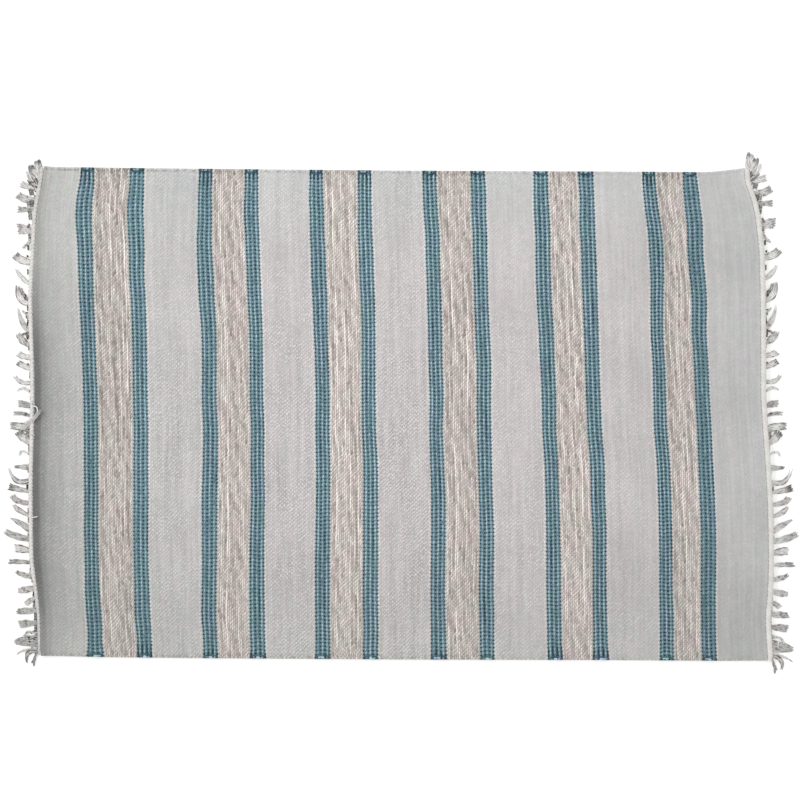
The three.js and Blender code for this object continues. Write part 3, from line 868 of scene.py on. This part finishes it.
def stripeRows(first):
    # the yarns of three stripes
    look = stripePicks
    longer, higher = look["slubLength"] - look["halfLength"], look["slubHeight"] - look["height"]
    group = zonesOf("stripe")[first:first + 3]
    for part, zone in enumerate(group):
        stripe = first + part
        for number in range(1, zone["picks"] - 1):
            place = (number + 0.5) * (zone["end"] - zone["start"]) / zone["picks"]
            dye = chance.normal(0, 0.07)

            def slub(v):
                return slubAt(stripe, place, v)

            yield pickRow(
                group, part, number, look["wander"],
                halfWidth=lambda v: look["halfWidth"] * (1 + look["slubWider"] * slub(v)),
                halfLength=lambda v: (look["halfLength"] + longer * slub(v))
                * chance.uniform(0.88, 1.06, len(v)),
                height=lambda v: (look["height"] + higher * slub(v)) * chance.uniform(0.8, 1.15, len(v)),
                lean=lambda v: look["lean"] * (1 - 0.8 * edgeShare(v)) * 2 * wanderAt(v * 1.3, stripe)
                * (1 - 0.8 * slub(v)) + chance.normal(0, 0.12, len(v)),
                sink=loom["sunk"],
                # the yarn is paler towards the bottom edge, and darker right at the top one
                tone=lambda v: look["tone"][stripe] + dye + look["slubTone"] * slub(v)
                + np.maximum(0.7 * (wanderAt(v * 2, stripe * 20 + number) - 0.5), -0.13)
                + chance.normal(0, 0.1, len(v))
                + 0.1 * np.clip(-v / 250, 0, 1) - 0.1 * np.clip((v - 290) / 4, 0, 1),
            )


def borderRows():
    # just outside each band, before its first pick and after its last
    look = borderPick
    group = zonesOf("band")
    for part in range(len(group)):
        for number in (-1, loom["bandPicks"]):
            yield pickRow(
                group, part, number,
                halfWidth=look["halfWidth"],
                halfLength=lambda v: look["halfLength"] * chance.uniform(0.9, 1.1, len(v)),
                height=look["height"],
                lean=look["lean"],
                sink=look["sink"],
                tone=lambda v: look["tone"] + 0.6 * (wanderAt(v, part * 5 + number) - 0.5)
                + chance.normal(0, 0.1, len(v)),
            )


dome = yarnDome()
darkTealPicks = layPicks("darkTealPicks", dome, bandRows("dark", 0), yarns["darkTeal"])
paleTealPicks = layPicks("paleTealPicks", dome, bandRows("pale", 1), yarns["paleTeal"])
borderPicks = layPicks("borderPicks", dome, borderRows(), yarns["border"])
stripePicksLeft = layPicks("stripePicksLeft", dome, stripeRows(0), yarns["stripe"])
stripePicksRight = layPicks("stripePicksRight", dome, stripeRows(3), yarns["stripe"])


# The cord twined along each end, of two plies
cord = {
    "inner": {-1: 0.0, 1: 0.6},  # how far its inner side lies over the cloth, on the left and on the right
    "up": 3.4,
    "inset": 1.0,
    "plyRadius": {-1: 2.4, 1: 2.7},
    "plySpread": {-1: 0.75, 1: 0.45},
    "places": [-297, -250, -215, -180, 150, 200, 297],
    "leftSize": [0.6, 0.64, 0.8, 0.88, 0.88, 0.92, 0.86],
    "leftTone": [0.46, 0.5, 0.56, 0.66, 0.68, 0.6, 0.5],
    "rightSize": 1.2,
    "rightTone": [0.76, 0.72, 0.66, 0.68, 0.72, 0.71, 0.68],
    "glow": {-1: 0.22, 1: 0.12},  # painted light and shade: how much paler its right side, and darker its left, is than its middle
    "kept": 0.98,
    "turn": 9.4,  # how far along the cord one turn of its plies takes
    "lumps": 0.06,
    "uneven": 0.07,
    "rings": 260,
}
# The strands of the tassels, each of two plies
strand = {
    "tucked": 3.5,  # how far its start goes back into the cord
    "rootRise": 1.9,
    "thinnest": 0.55,
    "thickest": 1.6,
    "tipThick": 0.55,
    "apart": 1.8,  # how far apart the strands of a tassel lie, for their thickness
    "fuller": 1.08,
    "shadowWidth": 1.9,  # how wide one strand of painted shadow is
    "plyRadius": 0.62,  # as shares of the strand's thickness
    "plySpread": 0.42,
    "turns": 1.3,
    "settled": 0.42,  # how far along it has come down to the floor
    "unequal": 0.025,
    "paintedShade": 0.95,
    "higherRight": 0.038,  # how much further up the upper tassels lie on the right
    "lowestFrom": [-275, -268],  # and how much further down the lowest
    "lowerRight": [2.6, 0],
    "paleFrom": [-228, -210, -100, -60],  # the painted shadow strands on the right are paler below
    "rightDark": [0.25, 0.6, 0.6, 1],
    # painted shade: darker towards the corners, but for the top right, which is a little paler
    "cornersFrom": [-285, -270, 265, 280],
    "cornersDark": {-1: [1.35, 1, 1, 1.2], 1: [1.15, 1, 1, 0.9]},
    "rootFrom": [-260, -220, -60, 0],  # painted light: on the right the tassels' roots are paler below, against the cord's shadow
    "rootPale": [0.2, 0.75, 0.7, 0.15],
    "rings": 12,
}

# Tassels from the top corner down: where each leaves the cord; how far past the cloth's end, and how much
# higher, its middle and its tip lie; how far out it leaves; its width at the root, middle and tip; its
# strands; how dark, in painted shade, its inside, its sides and its tip are
tassels = [
    (286, (4, 9), (6, 19.5), 4, (3.5, 4.5, 2.5), 2, (0.25, 0.35, 0.95)),
    (283.5, (7.5, 10.5), (9.5, 20), 4, (4.5, 5.5, 4), 3, (0.1, 0.35, 0.6)),
    (280.5, (10, 8.5), (14.5, 18), 4.5, (4.5, 5, 4), 3, (0.1, 0.5, 1)),
    (277, (12, 7.5), (17, 22), 5, (4, 4.5, 3), 3, (0.3, 0.45, 0.7)),
    (273.5, (13.5, 5), (18.5, 17), 5, (3, 3.5, 2.5), 1, (0.45, 0.3, 0.3)),
    (271.5, (11, 3), (17, 9.5), 5, (3.5, 4.5, 3), 2, (0.85, 0.5, 0.6)),
    (269, (14, 2.5), (25.5, 6.5), 5.5, (4.5, 5.5, 7.5), 3, (0.15, 0.5, 0.4)),
    (256.5, (16.5, 0.5), (27, 6), 6.5, (5, 8.5, 8), 4, (0.3, 0.35, 0.6)),
    (245, (15.5, -0.5), (25.5, -0.5), 6.5, (4.5, 5.5, 7.5), 3, (0.4, 0.3, 0.6)),
    (218, (14, 2.5), (23, 3), 6.5, (6, 10.5, 12), 5, (0.25, 0.3, 0.7)),
    (209, (10.5, -5.5), (17, -11), 8, (2.5, 3, 2.5), 1, (0.6, 0.3, 0.4)),
    (204, (12.5, -2), (15.5, -5.5), 9, (2.5, 3.5, 2.5), 1, (0.2, 0.3, 0.3)),
    (182, (16, 2), (24.5, 8.5), 8.5, (6, 8.5, 8.5), 4, (0.1, 0.55, 0.9)),
    (157, (14, 5.5), (21.5, 16.5), 6.5, (3.5, 5.5, 2.5), 3, (0.1, 0.45, 0.3)),
    (133, (15, 5), (19, 20.5), 6.5, (5, 8.5, 4.5), 4, (0.1, 0.8, 0.7)),
    (137.5, (11.5, 6), (14.5, 14), 7, (2.5, 2.5, 2), 1, (0.5, 0.5, 0.5)),
    (100.5, (14, 8.5), (19, 26), 7, (5, 6, 2), 3, (0.3, 0.3, 0.3)),
    (114.5, (10, 5), (14.5, 9.5), 6.5, (2.5, 2.5, 2), 1, (0.2, 0.3, 0.4)),
    (83, (14, 4.5), (20.5, 13.5), 7, (3.5, 8, 5), 3, (0.3, 0.55, 0.4)),
    (93, (10.5, 3), (15.5, 0), 7.5, (2.5, 3.5, 3.5), 1, (0.7, 0.5, 0.6)),
    (68, (14, 1), (20, 4.5), 6.5, (5, 6, 7.5), 3, (0.05, 0.45, 0.5)),
    (54.5, (14.5, 3.5), (21.5, 7.5), 6.5, (4.5, 6.5, 6.5), 3, (0.1, 0.5, 1)),
    (38, (16.5, 0), (24.5, 7.5), 6, (3.5, 5, 3), 2, (0.15, 0.4, 0.5)),
    (24.5, (14, 6), (22, 2.5), 5.5, (2.5, 3.5, 2), 2, (0.1, 0.25, 0.35)),
    (9, (13, 2.5), (21.5, 3.5), 5, (4.5, 7.5, 7.5), 4, (0.45, 0.4, 0.4)),
    (-3, (15, 3.5), (26.5, 3.5), 5.5, (2.5, 4.5, 4.5), 2, (0.6, 0.3, 0.4)),
    (-18, (17.5, 2.5), (30.5, 3.5), 6.5, (8.5, 8.5, 7.5), 4, (0.15, 0.75, 0.8)),
    (-35, (13, 5), (20.5, 13.5), 6.5, (4, 9, 9), 4, (0.15, 0.45, 1)),
    (-50, (14.5, 4.5), (19, -1), 7, (2, 2.5, 2.5), 1, (0.25, 0.15, 0.35)),
    (-65.5, (15, 0.5), (24, 0.5), 6.5, (8.5, 5, 2.5), 3, (0.35, 0.35, 0.9)),
    (-81, (21, -1), (31.5, 15), 7, (5, 5.5, 1.5), 2, (0.3, 0.7, 0.2)),
    (-94.5, (18.5, 2), (30.5, 5.5), 6.5, (3.5, 6, 8), 4, (0.3, 0.6, 1)),
    (-109, (19, 2), (27, 9), 6.5, (4.5, 6, 7.5), 3, (0.4, 0.45, 0.4)),
    (-124, (18, 5.5), (25, 12.5), 7, (2.5, 6, 3.5), 3, (0.25, 0.65, 0.4)),
    (-141, (18.5, 7.5), (30, 13.5), 6.5, (7.5, 6, 1.5), 3, (0.35, 0.45, 0.4)),
    (-153.5, (22.5, 3.5), (36, 9.5), 7, (5.5, 8, 6), 4, (0.4, 0.4, 0.5)),
    (-168.5, (15, 2.5), (24.5, 3.5), 5, (3, 8.5, 8.5), 4, (0.2, 0.9, 0.3)),
    (-182.5, (18.5, 1), (31.5, 1), 6, (3, 5, 5), 2, (0.4, 0.5, 0.7)),
    (-199.5, (17, 2), (25, 6), 7, (5.5, 6, 3), 3, (0.4, 0.35, 0.9)),
    (-214, (16, -2), (25, -3), 6.5, (5, 7.5, 5), 3, (0.35, 0.45, 0.4)),
    (-226.5, (11.5, -3), (17, -7.5), 5.5, (3.5, 5.5, 6), 3, (0.3, 0.5, 0.3)),
    (-241, (18, -1), (28.5, -1.5), 5, (5, 7.5, 5.5), 3, (0.4, 0.4, 0.8)),
    (-257, (17, -0.5), (27.5, -2), 5, (3, 8.5, 8.5), 4, (0.45, 0.35, 0.5)),
    (-279, (21, 0), (33, -2.5), 5, (13.5, 11, 5), 5, (0.4, 0.4, 0.4)),
    (-272, (15, 4.5), (22.5, -5), 5, (3, 3.5, 3), 1, (0.4, 0.3, 0.3)),
    (-288.5, (21, -2), (31, -8), 6, (3, 2.5, 1), 1, (0.55, 0.2, 0.3)),
    (-293, (16, -1), (17.5, -13.5), 7.5, (3, 5, 2), 2, (0.3, 0.6, 0.6)),
    (-294, (7.5, -5), (9, -16), 5, (3, 3, 2), 1, (0.35, 0.4, 0.6)),
    (-294, (8.5, -6), (12, -12.5), 5, (2.5, 2.5, 1.5), 1, (0.6, 0.3, 0.6)),
]

# Painted shadow beside the cord between the tassels, laid as dark strands on the floor: from and to, how far
# out at each, width, and how pale
shadowStrands = [
    (278.5, 270.5, 11.5, 5.5, 3.6, 0.15), (268.5, 261.5, 13, 11.5, 4.9, 0.3),
    (269, 264.5, 9.5, 5, 1.8, 0.4), (261.5, 258, 6.5, 6, 2.2, 0.4), (255, 246, 9.5, 8, 5.5, 0.2),
    (254, 248, 13.5, 12.5, 3.6, 0.45), (243, 231.5, 10, 9, 3.9, 0.4), (227, 221.5, 8.5, 11.5, 2.7, 0.4),
    (215.5, 207.5, 8.5, 8.5, 2.4, 0.4), (201.5, 195, 9, 9, 2.2, 0.2), (189.5, 187, 9.5, 9, 2.2, 0.15),
    (187, 181.5, 11.5, 9, 1.8, 0.4), (173, 166, 8, 8, 1.7, 0.3), (143, 136, 9.5, 9.5, 2.7, 0.05),
    (130, 123, 6.5, 6.5, 1.9, 0.15), (121.5, 120, 8, 8, 3, 0.15), (116.5, 112, 9, 6, 1.9, 0.1),
    (112, 102.5, 6.5, 8.5, 1.9, 0.15), (97.5, 88.5, 9, 7.5, 2.4, 0), (82, 76, 6.5, 7, 1.7, 0.35),
    (60.5, 57.5, 8.5, 8.5, 2.2, 0.4), (50.5, 42, 6, 6.5, 1.7, 0.45), (35, 30.5, 5.5, 5.5, 1.6, 0.6),
    (28.5, 26.5, 6.5, 6.5, 2.4, 0.45), (21, 12.5, 6, 5.5, 1.6, 0.45), (8, 2.5, 5, 5, 1.9, 0.15),
    (-5.5, -11, 6, 6, 1.5, 0.65), (-18.5, -31.5, 9, 9, 3.9, 0.5), (-37, -46.5, 7.5, 7, 1.7, 0.55),
    (-66, -72.5, 7.5, 7, 1.7, 0.5), (-86.5, -93, 8, 8, 2.4, 0.05), (-115.5, -123, 7, 7, 1.7, 0.5),
    (-126.5, -133.5, 7, 7, 1.5, 0.45), (-146.5, -150.5, 7.5, 7.5, 1.5, 0.45),
    (-158.5, -167.5, 6, 6, 1.5, 0.55), (-184, -197.5, 5.5, 7, 1.3, 0.65),
    (-203.5, -207.5, 6, 6.5, 1.6, 0.5), (-217.5, -224.5, 5.5, 6.5, 2.2, 0.15),
    (-228.5, -238, 6, 7, 2.8, 0.45), (-244.5, -254.5, 6, 6.5, 3.2, 0.25),
    (-259.5, -268.5, 6.5, 6.5, 3.2, 0.25), (-274, -281, 7.5, 9.5, 2.4, 0.15), (-287, -291, 12, 7, 1.9, 0),
    (-273.5, -281, 15, 14, 2.4, 0.15), (-266, -270, 8, 13, 1.9, 0.4), (282, 276, 9, 6, 2.4, 0.35),
]


def beyondEnd(side, across, out, up):
    # a place past the cloth's end: side is -1 on the left and 1 on the right
    end = side * loom["length"] / 2
    x, y = layOut(end, across)
    return np.stack([x + side * out, y, liftAt(end, across) + up], -1)


def gridMap(seed, copies, rows):
    # the bake's map of tubes: each in its own cell
    across = math.ceil(copies / rows)
    cell = np.arange(copies)[:, None]
    u = (cell % across + seed["map"][None, :, 0]) / across
    v = (cell // across + seed["map"][None, :, 1]) / rows
    return np.stack([u, v], -1)


def levelBeside(ahead):
    # the level direction at right angles to a route's own
    sideways = np.stack([-ahead[..., 1], ahead[..., 0], 0 * ahead[..., 0]], -1)
    return sideways / np.linalg.norm(sideways, axis=-1, keepdims=True)


def curved(s, start, bend, tip):
    # a plain curve from its start towards its bend and on to its tip
    return (1 - s) ** 2 * start + 2 * s * (1 - s) * bend + s ** 2 * tip


def plyPhases(count):
    # the two plies of a strand lie opposite each other
    return np.tile([[0.0], [math.pi]], (count // 2, 1))


def bendTubes(name, seed, centre, sideways, radius, spread, phase, turns, tone, kept, rows, material):
    # tubes bent along their routes, each ply winding about its strand's middle; arrays are copies x points
    share = seed["points"][:, 2][None, :]
    around = phase + 2 * math.pi * turns * share
    out = spread * np.cos(around) + radius * seed["points"][:, 0][None, :]
    up = spread * np.sin(around) + radius * seed["points"][:, 1][None, :]
    points = centre + sideways * out[..., None]
    points[..., 2] += up
    points[..., 2] = np.maximum(points[..., 2], 0.02)
    # painted shade: each ply lighter where it faces up and darker where it faces down
    facing = seed["points"][:, 1][None, :] * 0.5 + np.sin(around) * 0.35
    look = {"tone": tone, "rise": np.clip(0.55 + facing, 0, 1), "kept": kept}
    bakeMap = gridMap(seed, points.shape[0], rows)
    return joinedCopies(name, seed, points, look, bakeMap, material)


def makeCord(side, name):
    # two plies from edge to edge, beside the cloth's last pick
    seed = yarnTube(7, cord["rings"])
    share = np.tile(seed["points"][:, 2], (2, 1))
    reach = loom["width"] / 2 - cord["inset"]
    across = (2 * share - 1) * reach
    size = np.interp(across, cord["places"], cord["leftSize"]) if side < 0 else cord["rightSize"]
    spread, radius = cord["plySpread"][side] * size, cord["plyRadius"][side] * size
    centre = beyondEnd(side, across, spread + radius - cord["inner"][side], cord["up"])
    sideways = np.array([side, 0.0, 0.0]) * np.ones(centre.shape)
    turns = 2 * reach / cord["turn"]
    phase = plyPhases(2)
    lumps = 1 + cord["lumps"] * np.sin(across / 1.9 + 3 * phase) * np.sin(across / 5.3 + side)
    tip = np.clip(np.minimum(share, 1 - share) * 2 * reach / 3, 0.45, 1)
    phase = phase + 0.8 * np.sin(across / 23 + side) + 0.4 * np.sin(across / 7.7)
    tone = np.interp(across, cord["places"], cord["leftTone" if side < 0 else "rightTone"])
    tone = tone + cord["uneven"] * np.sin(across / 11 + side) * np.sin(across / 3.1) + 0.03 * np.sin(phase)
    out = spread * np.cos(phase + 2 * math.pi * turns * share) + radius * seed["points"][:, 0]
    tone = tone + cord["glow"][side] * side * out / (spread + radius)
    return bendTubes(name, seed, centre, sideways, radius * lumps * tip, spread * tip,
                     phase, turns, tone, cord["kept"], 2, yarns["cord"])


def tasselRows(side):
    # for each ply: the route's start, middle and tip, its place beside the others, and its tassel's looks
    rows = []
    shadowRows = [(upper, ((out + last) / 2, (lower - upper) / 2), (last, lower - upper), out, (wide,) * 3,
             max(1, round(wide / strand["shadowWidth"])), (1 - pale,) * 3)
            for upper, lower, out, last, wide, pale in shadowStrands]
    for order, (at, middle, tip, out, widths, strands, dark) in enumerate(tassels + shadowRows):
        root = 0
        if side > 0:
            at = at * (1 + strand["higherRight"] * (at > 0))
            lower = np.interp(at, strand["lowestFrom"], strand["lowerRight"])
            middle, tip = ((reach, up - lower) for reach, up in (middle, tip))
            root = np.interp(at, strand["rootFrom"], strand["rootPale"])
        start, middle, tip = (beyondEnd(side, at, reach, 0) + np.array([0, up, 0])
                              for reach, up in ((out, 0), middle, tip))
        if order < len(tassels):  # a tassel comes out of the cord; a dark strand of painted shadow lies beside it
            back = start - middle
            start = start + back * min(1, strand["tucked"] / np.linalg.norm(back))
        elif side > 0:
            dark = np.array(dark) * np.interp(at, strand["paleFrom"], strand["rightDark"])
        dark = np.array(dark) * np.interp(at, strand["cornersFrom"], strand["cornersDark"][side])
        for i in range(strands):
            beside = 2 * i / (strands - 1) - 1 if strands > 1 else 0
            length = 1 + chance.normal(0, strand["unequal"])
            rows += [(start, middle, start + (tip - start) * length, beside, widths, strands, dark, root)] * 2
    return rows


# the tassels, and the dark strands of painted shadow beside the cord
def makeTassels(side, name):
    seed = yarnTube(5, strand["rings"])
    rows = tasselRows(side)
    start, middle, tip, beside, widths, strands, dark, root = (np.array(part, float) for part in zip(*rows))
    start, middle, tip = start[:, None, :], middle[:, None, :], tip[:, None, :]
    beside, strands = beside[:, None], strands[:, None]
    count = len(rows)
    own = np.repeat(chance.uniform(0, 1, (count // 2, 4)), 2, 0)[..., None]  # each strand's own numbers
    share = np.tile(seed["points"][:, 2], (count, 1))
    s = share[..., None]
    control = 2 * middle - (start + tip) / 2
    centre = curved(s, start, control, tip)
    sideways = levelBeside(2 * (1 - s) * (control - start) + 2 * s * (tip - control))

    first, mid, last = (widths[:, i][:, None] for i in range(3))
    wide = np.where(share < 0.5, first + (mid - first) * share * 2, mid + (last - mid) * (share * 2 - 1))
    wide = wide * strand["fuller"]
    thick = np.clip(wide / strands / strand["apart"], strand["thinnest"], strand["thickest"])
    thick = thick * np.interp(share, [0, 0.92, 1], [1, 1, strand["tipThick"]])
    centre = centre + sideways * (beside * np.maximum(wide / 2 - thick * 0.8, 0))[..., None]
    radius, spread = thick * strand["plyRadius"], thick * strand["plySpread"]
    drop = np.clip(1 - share / strand["settled"], 0, 1) ** 2
    centre[..., 2] = strand["rootRise"] * drop + (radius + spread) * (1 - 0.6 * drop) - 0.1

    phase = plyPhases(count) + own[:, 0] * 6
    turned = np.cos(phase + 2 * math.pi * strand["turns"] * share)
    lateral = 0.6 * seed["points"][:, 0][None, :] + 0.4 * turned
    outward = np.where(strands > 1, beside * lateral, np.abs(lateral))
    atSide = (np.abs(beside) > 0.99) | (strands == 1)
    rim = np.clip(outward * 2.5 + 0.15, 0, 1) * atSide
    inner, edge, end = (dark[:, i][:, None] for i in range(3))
    # painted shade: the inside and the sides as their tassel says, with darker strokes, and then the tip; on
    # the right, painted light at the roots
    strokes = np.clip(np.sin(share * 11 + own[:, 1] * 6.3) + np.sin(share * 23 + own[:, 2] * 6.3) - 0.8, 0, 1)
    paintedShade = inner + (edge * 1.2 - inner) * rim + strokes * (0.2 + 0.5 * inner)
    paintedShade = paintedShade + (end - paintedShade) * np.clip((share - 0.6) / 0.3, 0, 1) * (0.5 + 0.5 * own[:, 3])
    tone = 1 - strand["paintedShade"] * paintedShade * (1 - root[:, None] * np.clip(1.4 - share / 0.3, 0, 1))
    return bendTubes(name, seed, centre, sideways, radius, spread, phase, strand["turns"], tone, 1.0, 20,
                     yarns["warp"])


cordLeft = makeCord(-1, "cordLeft")
cordRight = makeCord(1, "cordRight")
tasselsLeft = makeTassels(-1, "tasselsLeft")
tasselsRight = makeTassels(1, "tasselsRight")


# Where the picks turn back at the long edges: small leaning lumps, and a loop of both yarns at each band
edgeTurns = {
    "inFromEdge": 1.3,
    "halfWidth": 1.9,
    "halfLength": 1.0,
    "height": 0.75,
    "lean": 0.9,
    "sink": 0.75,
    "tone": {"ground": 0.5, "stripe": 0.38},
}
loops = {
    "inset": 3.9,  # how far in from the edge the dark yarn crosses the band
    "paleInset": 1.8,  # and where the pale yarn turns
    "radius": 1.15,
    "corner": 1.5,
    "paleRadius": 1.45,
    "rings": 22,
    "drop": 0.5,
    "darkTone": (0.85, 0.6),  # at the bottom and at the top
    "paleTone": (0.85, 0.3),
}


def turnRows():
    look = edgeTurns
    for kind, side in (("ground", -1), ("ground", 1), ("stripe", -1), ("stripe", 1)):
        for part, zone in enumerate(zones):
            if zone["kind"] != kind:
                continue
            width = zone["end"] - zone["start"]
            count = int(width / (2 * loom["groundPitch"]))
            at = zone["start"] + (np.arange(count) + 0.5) * width / count
            yield {
                "along": at + chance.normal(0, 0.35, count),
                "across": np.full(count, side * (loom["width"] / 2 - look["inFromEdge"])),
                **mapPlace(zones, part, count),
                "halfWidth": look["halfWidth"] * chance.uniform(0.8, 1.2, count),
                "halfLength": look["halfLength"] * chance.uniform(0.85, 1.15, count),
                "height": look["height"] * chance.uniform(0.8, 1.1, count),
                "lean": side * look["lean"] * chance.uniform(0.6, 1.3, count),
                "sink": np.full(count, look["sink"]),
                "tone": look["tone"][kind] + chance.normal(0, 0.14, count),
            }


selvedgeTurns = layPicks("selvedgeTurns", dome, turnRows(), yarns["stripe"])


def routed(routeOf, share):
    # a route's points, and the level direction beside it at each
    return routeOf(share), levelBeside(routeOf(share + 0.004) - routeOf(share - 0.004))


def makeLoops(name, material, pale):
    # dark yarn goes in along the band's side, across it, and out again; pale yarn turns between at the edge
    seed = yarnTube(6, loops["rings"])
    ends = [(band["at"], band["width"], side) for band in bands for side in (-1.0, 1.0)]
    at, width, side = (np.array(values)[:, None] for values in zip(*ends))
    share = np.tile(seed["points"][:, 2], (len(ends), 1))
    uneven = chance.uniform(0, 1, at.shape)

    def insetAt(share):
        if pale:
            return loops["paleInset"] + 0.5 * np.sin(share * 3 + uneven * 4)
        turn = math.pi * (share * 1.3 - 0.15)
        return 0.9 + (loops["inset"] + 0.8 * uneven - 0.9) * np.clip(np.sin(turn) + 0.1, 0, 1) ** 0.6

    def routeOf(share):
        if pale:
            along = at + width * (0.55 * share - 0.275 + 0.2 * (uneven - 0.5))
        else:
            along = at - width * 0.42 * np.cos(math.pi * (share * 1.3 - 0.15)) * (1 - 0.12 * uneven)
        inset = insetAt(share)
        across = side * (loom["width"] / 2 - inset)
        x, y = layOut(along, across)
        low = loops["drop"] + np.clip(1.6 - inset, 0, 1) * 0.8
        return np.stack([x, y, levelAt(along, across) - low], -1)

    centre, sideways = routed(routeOf, share)
    if pale:
        radius = loops["paleRadius"] * np.sin(math.pi * np.clip(share, 0.06, 0.94)) ** 0.5
    else:
        corner = np.clip(np.abs(2 * share - 1) * 2.2 - 1.2, 0, 1)
        radius = loops["radius"] + (loops["corner"] - loops["radius"]) * corner
        radius = radius * np.interp(share, [0, 0.05, 0.95, 1], [0.5, 1, 1, 0.5])
    atBottom, atTop = loops["paleTone" if pale else "darkTone"]
    tone = np.where(side > 0, atTop, atBottom) + 0.2 * np.sin(share * 9 + uneven * 5)
    kept = lightAt(at, side * (loom["width"] / 2 - 7))
    return bendTubes(name, seed, centre, sideways, radius, 0.0, 0.0, 0, tone, kept, 5, material)


darkLoops = makeLoops("darkLoops", yarns["darkTeal"], False)
paleLoops = makeLoops("paleLoops", yarns["paleTeal"], True)

# Loose yarn ends on the left: a lock lying back over the cord, an arc above it, and short ends that stick
# out of the cord over the cloth: root, bend and tip in millimetres, strands, and how much darker
looseEnds = [
    ((-461.5, -17.0, 6.0), (-447.0, -10.0, 15.5), (-437.5, 5.5, 10.5), 3, 0.45),
    ((-459.0, -12.0, 6.0), (-449.0, -7.0, 15.0), (-441.5, -2.0, 10.8), 2, 0.2),
    ((-447.5, 9.5, 12.5), (-438.8, 10.5, 13.5), (-442.6, -1.0, 11.0), 1, 0.0),
    ((-449.5, 13.0, 12.0), (-446.0, 14.5, 13.0), (-444.8, 11.0, 11.3), 1, 0.2),
    ((-451.0, -24.0, 13.0), (-446.5, -23.5, 13.6), (-445.0, -26.5, 11.4), 1, 0.1),
    ((-450.0, -125.0, 12.5), (-445.0, -125.5, 13.0), (-441.5, -124.0, 10.9), 1, 0.1),
    ((-452.5, -92.0, 13.0), (-449.5, -91.0, 13.4), (-448.0, -93.5, 11.5), 1, 0.1),
]
looseEnd = {"rings": 14, "apart": 1.9, "plyRadius": 0.6, "plySpread": 0.42, "turns": 3, "tone": 0.88}


def makeLooseEnds():
    # each end is one curve, with its strands side by side and two plies to each
    look = looseEnd
    seed = yarnTube(5, look["rings"])
    rows = []
    for root, bend, tip, strands, darkening in looseEnds:
        for i in range(strands):
            rows += [(root, bend, tip, (i - (strands - 1) / 2) * look["apart"], darkening)] * 2
    root, bend, tip = (np.array([row[i] for row in rows], float)[:, None, :] for i in range(3))
    offset, darkening = (np.array([row[i] for row in rows])[:, None] for i in (3, 4))
    share = np.tile(seed["points"][:, 2], (len(rows), 1))
    centre, sideways = routed(lambda s: curved(s[..., None], root, bend, tip), share)
    centre = centre + sideways * (offset * (1 - 0.3 * share))[..., None]
    radius = look["plyRadius"] * np.interp(share, [0, 0.8, 1], [1, 0.9, 0.5])
    phase = plyPhases(len(rows)) + offset * 2
    tone = look["tone"] - darkening * (0.5 + 0.3 * share)
    return bendTubes("looseEnds", seed, centre, sideways, radius, look["plySpread"], phase, look["turns"],
                     tone, 1.0, 5, yarns["warp"])


strayEnds = makeLooseEnds()

# Around the rug, in metres: the plain floor, soft light from the upper left, and the camera above
floor = {
    "halfSize": 9.0,
    "colours": ((0.66, 0.66, 0.655, 1), (0.6567, 0.6567, 0.651725, 1)),
    "roughness": 0.85,
    "glow": 0.42,
}
light = {"sky": 0.83, "keyPower": 128.0, "keyAt": (-3.4, 2.4, 3.6), "keySize": 2.4}
camera = {"height": 3.0, "frameWidth": 0.9728, "middle": (-0.0024, 0.0170)}


def floorLooks(start, look):
    return {
        "Base Color": mixed(noise(start.node("ShaderNodeTexCoord", None, None, "Object"), 3.0),
                            *look["colours"]),
        "Roughness": look["roughness"],
        "Emission Color": (1, 1, 1, 1),
        "Emission Strength": look["glow"],
    }


bm = bmesh.new()
bmesh.ops.create_grid(bm, x_segments=1, y_segments=1, size=floor["halfSize"])
mesh = bpy.data.meshes.new("floor")
bm.to_mesh(mesh)
bm.free()
mesh.materials.append(madeMaterial("paleFloor", floorLooks, floor))
floorPiece = placed("floor", mesh)

world = bpy.data.worlds.new("studio")
world.use_nodes = True
background = world.node_tree.nodes["Background"].inputs
background["Color"].default_value = (1, 1, 1, 1)
background["Strength"].default_value = light["sky"]
scene.world = world
lamp = bpy.data.lights.new("key", "AREA")
lamp.size = light["keySize"]
lamp.energy = light["keyPower"]
key = placed("key", lamp)
key.location = light["keyAt"]
key.rotation_euler = (-key.location).to_track_quat("-Z", "Y").to_euler()

lens = bpy.data.cameras.new("above")
lens.lens = lens.sensor_width * camera["height"] / camera["frameWidth"]
scene.camera = placed("above", lens)
scene.camera.location = (*camera["middle"], camera["height"])

# What every piece rides on, and the parts of the model that they stand for
pieces = [rugCloth, darkTealPicks, paleTealPicks, borderPicks, stripePicksLeft, stripePicksRight,
          selvedgeTurns, darkLoops, paleLoops]
fringes = [cordLeft, cordRight, tasselsLeft, tasselsRight, strayEnds]
for piece in pieces + fringes:
    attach(piece, "root")
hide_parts("woven_cloth")
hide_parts("fringe_left")
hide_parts("fringe_right")
pieces[1:] + fringes
